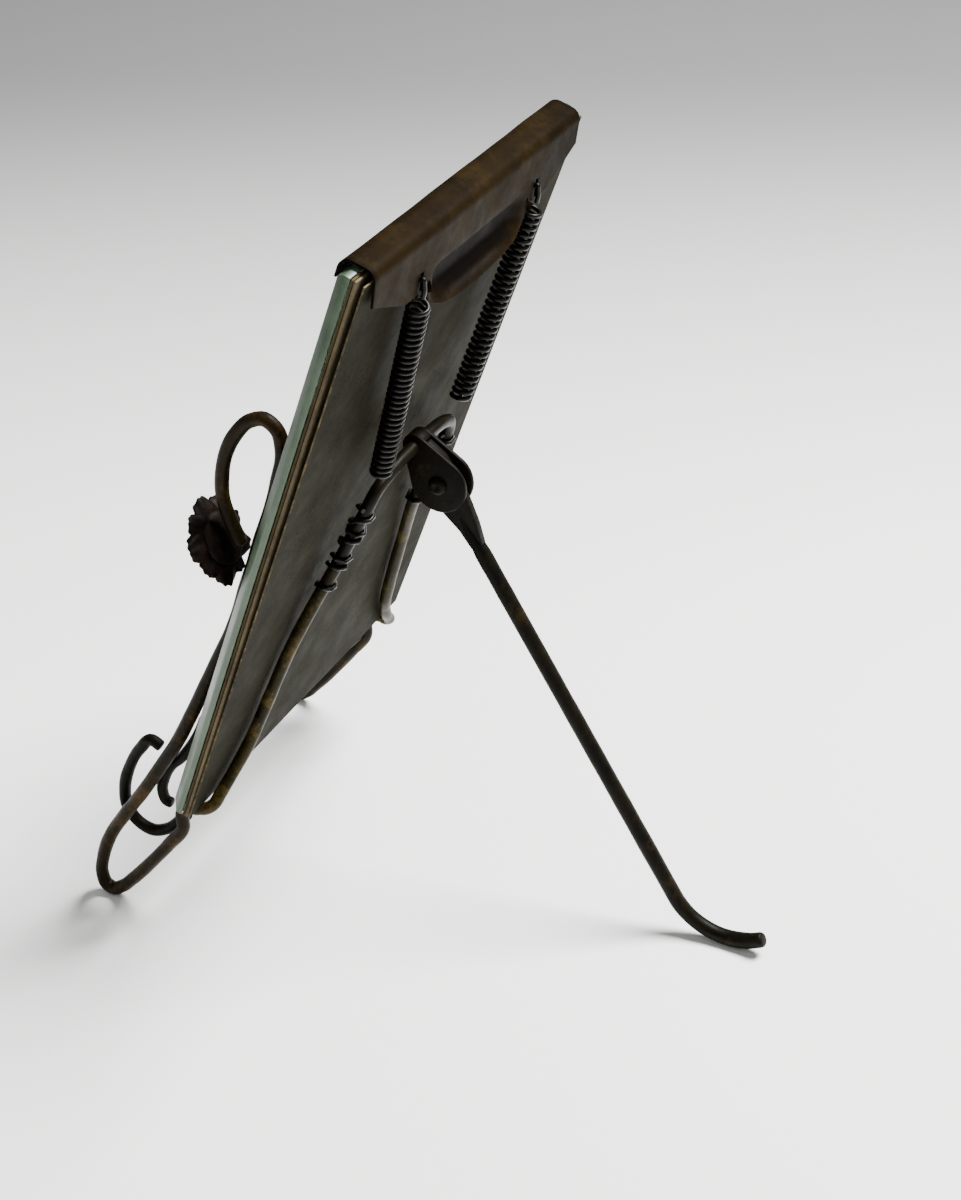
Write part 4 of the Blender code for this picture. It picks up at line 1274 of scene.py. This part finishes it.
@dataclass
class HingeAndLeg:
    """The hinge yoke on the crossbar, its rivet, and the leg with its flattened head."""

    finishes: Finishes
    cheek_radius: float = 0.0068
    cheek_inner: float = 0.0013
    cheek_outer: float = 0.0024
    eye_radius: float = 0.0018
    eye_wall: float = 0.0011
    blade_half: float = 0.0010
    leg_radius: float = 0.0019
    splay: float = math.radians(31.6)
    toe_radius: float = 0.0160
    toe_lift: float = math.radians(28.0)
    rivet_radius: float = 0.0011
    head_radius: float = 0.0022

    @property
    def pivot(self) -> Vector:
        """The rivet's middle."""
        return PLANE.point(0.0, PLANE.pivot_depth, PLANE.pivot_height)

    @property
    def eye(self) -> Vector:
        """The crossbar's middle."""
        return PLANE.point(0.0, PLANE.crossbar_depth, PLANE.crossbar_height)

    def cheek(self) -> list[Pair]:
        """List a cheek's (y, z) outline: a disc round the rivet that narrows to the crossbar."""
        pivot, eye = (self.pivot.y, self.pivot.z), (self.eye.y, self.eye.z)
        reach = math.hypot(eye[0] - pivot[0], eye[1] - pivot[1])
        heading = math.degrees(math.atan2(eye[1] - pivot[1], eye[0] - pivot[0]))
        wall = self.eye_radius + self.eye_wall
        flank = math.degrees(math.acos((self.cheek_radius - wall) / reach))
        outline = arc(pivot, self.cheek_radius, heading + flank, heading + 360.0 - flank, 40)
        return outline + arc(eye, wall, heading - flank, heading + flank, 16)

    def build_yoke(self) -> bpy.types.Object:
        """Cut both cheeks, and wrap the strip between them round the front of the crossbar."""
        cheeks = [
            cut_plate("cheek", self.cheek(), side * self.cheek_inner, side * self.cheek_outer, 0.00035)
            for side in (-1, 1)
        ]
        eye = (self.eye.y, self.eye.z)
        heading = math.degrees(math.atan2(self.eye.z - self.pivot.z, self.eye.y - self.pivot.y))
        band = arc(eye, self.eye_radius + self.eye_wall - 0.00002, heading - 95.0, heading + 95.0, 24)
        band += arc(eye, self.eye_radius, heading + 95.0, heading - 95.0, 24)
        wrap = cut_plate("wrap", band, -self.cheek_inner - 0.0003, self.cheek_inner + 0.0003, 0.00008)
        yoke = joined("hinge_cheeks", cheeks + [wrap])
        for vertex in yoke.data.vertices:
            if abs(vertex.co.x) > self.cheek_inner + 0.0009:
                away = math.hypot(vertex.co.y - self.pivot.y, vertex.co.z - self.pivot.z)
                beaten = noise.noise(vertex.co * 300.0) * min(away / 0.006, 1)
                vertex.co.x += math.copysign(0.00008, vertex.co.x) * beaten
        dress(yoke, Body.STAND, "dark_bronzed_iron", ["hinge_yoke"], self.finishes.iron)
        return yoke

    def build_rivet(self) -> bpy.types.Object:
        """Turn the rivet's shank and its two domed heads."""
        made = []
        foot = self.cheek_outer + 0.0002
        for side in (-1, 1):
            bpy.ops.object.select_all(action="DESELECT")
            bpy.ops.mesh.primitive_uv_sphere_add(
                segments=28, ring_count=16, radius=1.0, location=(0, 0, 0),
                scale=(0.0013, self.head_radius, self.head_radius))
            head = started("rivet_head")
            apply_place(head)
            bpy.ops.object.mode_set(mode="EDIT")
            bpy.ops.mesh.select_all(action="SELECT")
            bpy.ops.mesh.bisect(
                plane_co=(0.00012, 0, 0), plane_no=(1, 0, 0), use_fill=True, clear_inner=True)
            bpy.ops.object.mode_set(mode="OBJECT")
            for vertex in head.data.vertices:
                vertex.co.x *= 1.0 - 0.45 * math.exp(-(math.hypot(vertex.co.y, vertex.co.z) / 0.0008) ** 2)
            seat = Matrix.Translation((side * foot, self.pivot.y, self.pivot.z))
            head.data.transform(seat @ Matrix.Scale(side, 4, (1, 0, 0)))
            made.append(head)
        bpy.ops.object.select_all(action="DESELECT")
        bpy.ops.mesh.primitive_cylinder_add(
            vertices=24, radius=self.rivet_radius, depth=2 * foot + 0.0004, location=self.pivot,
            rotation=(0, math.pi / 2, 0))
        made.append(started("shank"))
        apply_place(made[-1])
        rivet = joined("hinge_rivet", made)
        close_and_face_out(rivet, 1e-8)
        smooth(rivet, 45.0)
        dress(rivet, Body.STAND, "dark_bronzed_iron", ["rivet"], self.finishes.iron)
        return rivet

    def leg_path(self) -> list[Vector]:
        """List the leg's centreline from its head to the end of its upturned toe."""
        pivot = self.pivot
        fall = math.pi / 2 - self.splay
        bend_z = self.leg_radius + self.toe_radius * (1 - math.cos(fall))
        length = (pivot.z - bend_z) / math.cos(self.splay)
        heading = Vector((math.sin(self.splay), -math.cos(self.splay)))
        start, bend = heading * 0.0085, heading * length
        centre = bend + Vector((-heading.y, heading.x)) * self.toe_radius
        flat = [start + (bend - start) * i / 40 for i in range(40)]
        first, last = -90.0 - math.degrees(fall), -90.0 + math.degrees(self.toe_lift)
        flat += [Vector(p) for p in arc((centre.x, centre.y), self.toe_radius, first, last, 36)]
        flat.append(flat[-1] + Vector((math.cos(self.toe_lift), math.sin(self.toe_lift))) * 0.0015)
        return [Vector((0.0, pivot.y + p.x, pivot.z + p.y)) for p in flat]

    def blade(self) -> list[Pair]:
        """List the (y, z) outline of the leg's flat head, whose horn stops it against the crossbar."""
        drop, behind = PLANE.crossbar_height - PLANE.pivot_height, PLANE.pivot_depth - PLANE.crossbar_depth
        reach, heading = math.hypot(drop, behind), math.atan2(behind, drop)
        off = reach * math.sin(PLANE.lean + self.splay - heading)
        up = reach * math.cos(PLANE.lean + self.splay - heading)
        clear = 0.0015 + 0.0004
        hollow = [(up + a, off + b) for a, b in arc((0.0, 0.0), clear, 215.0, 101.0, 14)]
        front = [(-0.0170, -0.0016), (-0.0120, -0.0021), (-0.0060, -0.0038), (-0.0010, -0.0044),
                 (0.0035, -0.0038)]
        back = [(up - 0.0005, off + clear + 0.0010), (0.0055, 0.0041), (0.0010, 0.0046), (-0.0060, 0.0040),
                (-0.0120, 0.0030), (-0.0170, 0.0016)]
        rise = Vector((-math.sin(self.splay), math.cos(self.splay)))
        aft = Vector((math.cos(self.splay), math.sin(self.splay)))
        corners = [rise * a + aft * b for a, b in front + hollow + back]
        return [(self.pivot.y + corner.x, self.pivot.z + corner.y) for corner in corners]

    def build_leg(self) -> bpy.types.Object:
        """Draw the leg out of round rod and hammer its head flat."""
        path, shares = filed_ends(self.leg_path(), self.leg_radius, 0.5)
        shares = uneven(path, shares, 0.045, 31.0)
        for i, point in enumerate(path):
            away = (point - path[0]).length
            shares[i] *= min(0.50 + 0.50 * (away / 0.0105), 1.0)
        shank = bent_rod("leg_rod", path, self.leg_radius, shares, roundness=8)
        head = cut_plate("head", self.blade(), -self.blade_half, self.blade_half, 0.00035)
        leg = joined("folding_leg", [shank, head])
        dress(leg, Body.LEG, "dark_bronzed_iron", ["leg"], self.finishes.iron)
        return leg

    def build(self) -> None:
        """Build the yoke, the rivet and the leg."""
        self.build_yoke()
        self.build_rivet()
        self.build_leg()


# ---------------------------------------------------------------- the studio


@dataclass
class Studio:
    """The pale floor, the soft lights and the camera."""

    azimuth: float = 115.23
    elevation: float = 32.04
    camera: Point = (0.38824, 0.23399, 0.34737)
    lens: float = 66.44
    near_floor: Colour = (0.955, 0.96, 0.945)
    # Painted shade: the floor greys from the near colour to this one across the span below, further behind
    # the stand.
    far_floor_painted_shade: Colour = (0.20, 0.205, 0.20)
    painted_shade_span: Pair = (0.02, 0.62)
    air: tuple[float, float, float, float] = (0.98, 1.0, 0.965, 1.0)
    air_strength: float = 0.34

    def floor(self) -> None:
        """Lay a pale floor with painted shade that greys it with distance behind the stand."""
        bpy.ops.object.select_all(action="DESELECT")
        bpy.ops.mesh.primitive_grid_add(
            x_subdivisions=8, y_subdivisions=8, size=12.0, location=(0, 0, -0.00015))
        floor = started("studio_floor")
        apply_place(floor)
        material, shader, surface, place = principled("pale_floor")
        turn = math.radians(self.azimuth)
        away = shader.node("VectorMath", {0: place, 1: (-math.sin(turn), math.cos(turn), 0.0)},
                           operation="DOT_PRODUCT").outputs["Value"]
        inputs = {"Value": away, "From Min": self.painted_shade_span[0], "From Max": self.painted_shade_span[1]}
        # Painted shade: greyer further behind the stand.
        far = shader.node("MapRange", inputs, clamp=True, interpolation_type="SMOOTHSTEP").outputs[0]
        colour = shader.mix(far, self.near_floor, self.far_floor_painted_shade)
        surface.inputs["Roughness"].default_value = 0.75
        surface.inputs["Specular IOR Level"].default_value = 0.2
        connect(shader, surface, Base_Color=colour)
        floor.data.materials.append(material)

    def lights(self) -> None:
        """Hang a broad soft light over the far side, a weaker one in front, and light the air evenly."""
        for name, place, size, power in (
            ("far_window", (-0.36, 0.36, 0.95), 0.50, 46.0),
            ("near_fill", (0.7, -0.3, 1.3), 1.2, 2.0),
        ):
            bpy.ops.object.light_add(type="AREA", location=place)
            light = started(name)
            light.data.shape = "DISK"
            light.data.size = size
            light.data.energy = power
            heading = Vector((0.0, 0.0, 0.08)) - Vector(place)
            light.rotation_euler = heading.to_track_quat("-Z", "Y").to_euler()
        world = bpy.data.worlds.new("soft_air")
        world.use_nodes = True
        background = world.node_tree.nodes["Background"]
        background.inputs[0].default_value = self.air
        background.inputs[1].default_value = self.air_strength
        bpy.context.scene.world = world

    def view(self) -> None:
        """Set the camera."""
        bpy.ops.object.camera_add(
            location=Vector(self.camera) + Vector((0.0, PLANE.shift, 0.0)),
            rotation=(math.radians(90.0 - self.elevation), 0.0, math.radians(self.azimuth)))
        camera = started("camera")
        camera.data.lens = self.lens
        camera.data.sensor_width = 36.0
        camera.data.clip_start = 0.01
        bpy.context.scene.camera = camera

    def build(self) -> None:
        """Build the studio."""
        self.floor()
        self.lights()
        self.view()


def main() -> None:
    """Build every sub-assembly in order."""
    logging.basicConfig(level=logging.INFO, format="%(name)s: %(message)s")
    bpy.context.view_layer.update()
    finishes = Finishes()
    Studio().build()
    GlassPack(finishes).build()
    TopClip(finishes).build()
    arch = BackRod(finishes)
    arch.build()
    for hand in Hand:
        Spring(finishes, hand, smooth_path(arch.arm(hand.value), 24)).build()
        FrontIronwork(finishes, hand).build()
    HingeAndLeg(finishes).build()


if __name__ == "__main__":
    main()
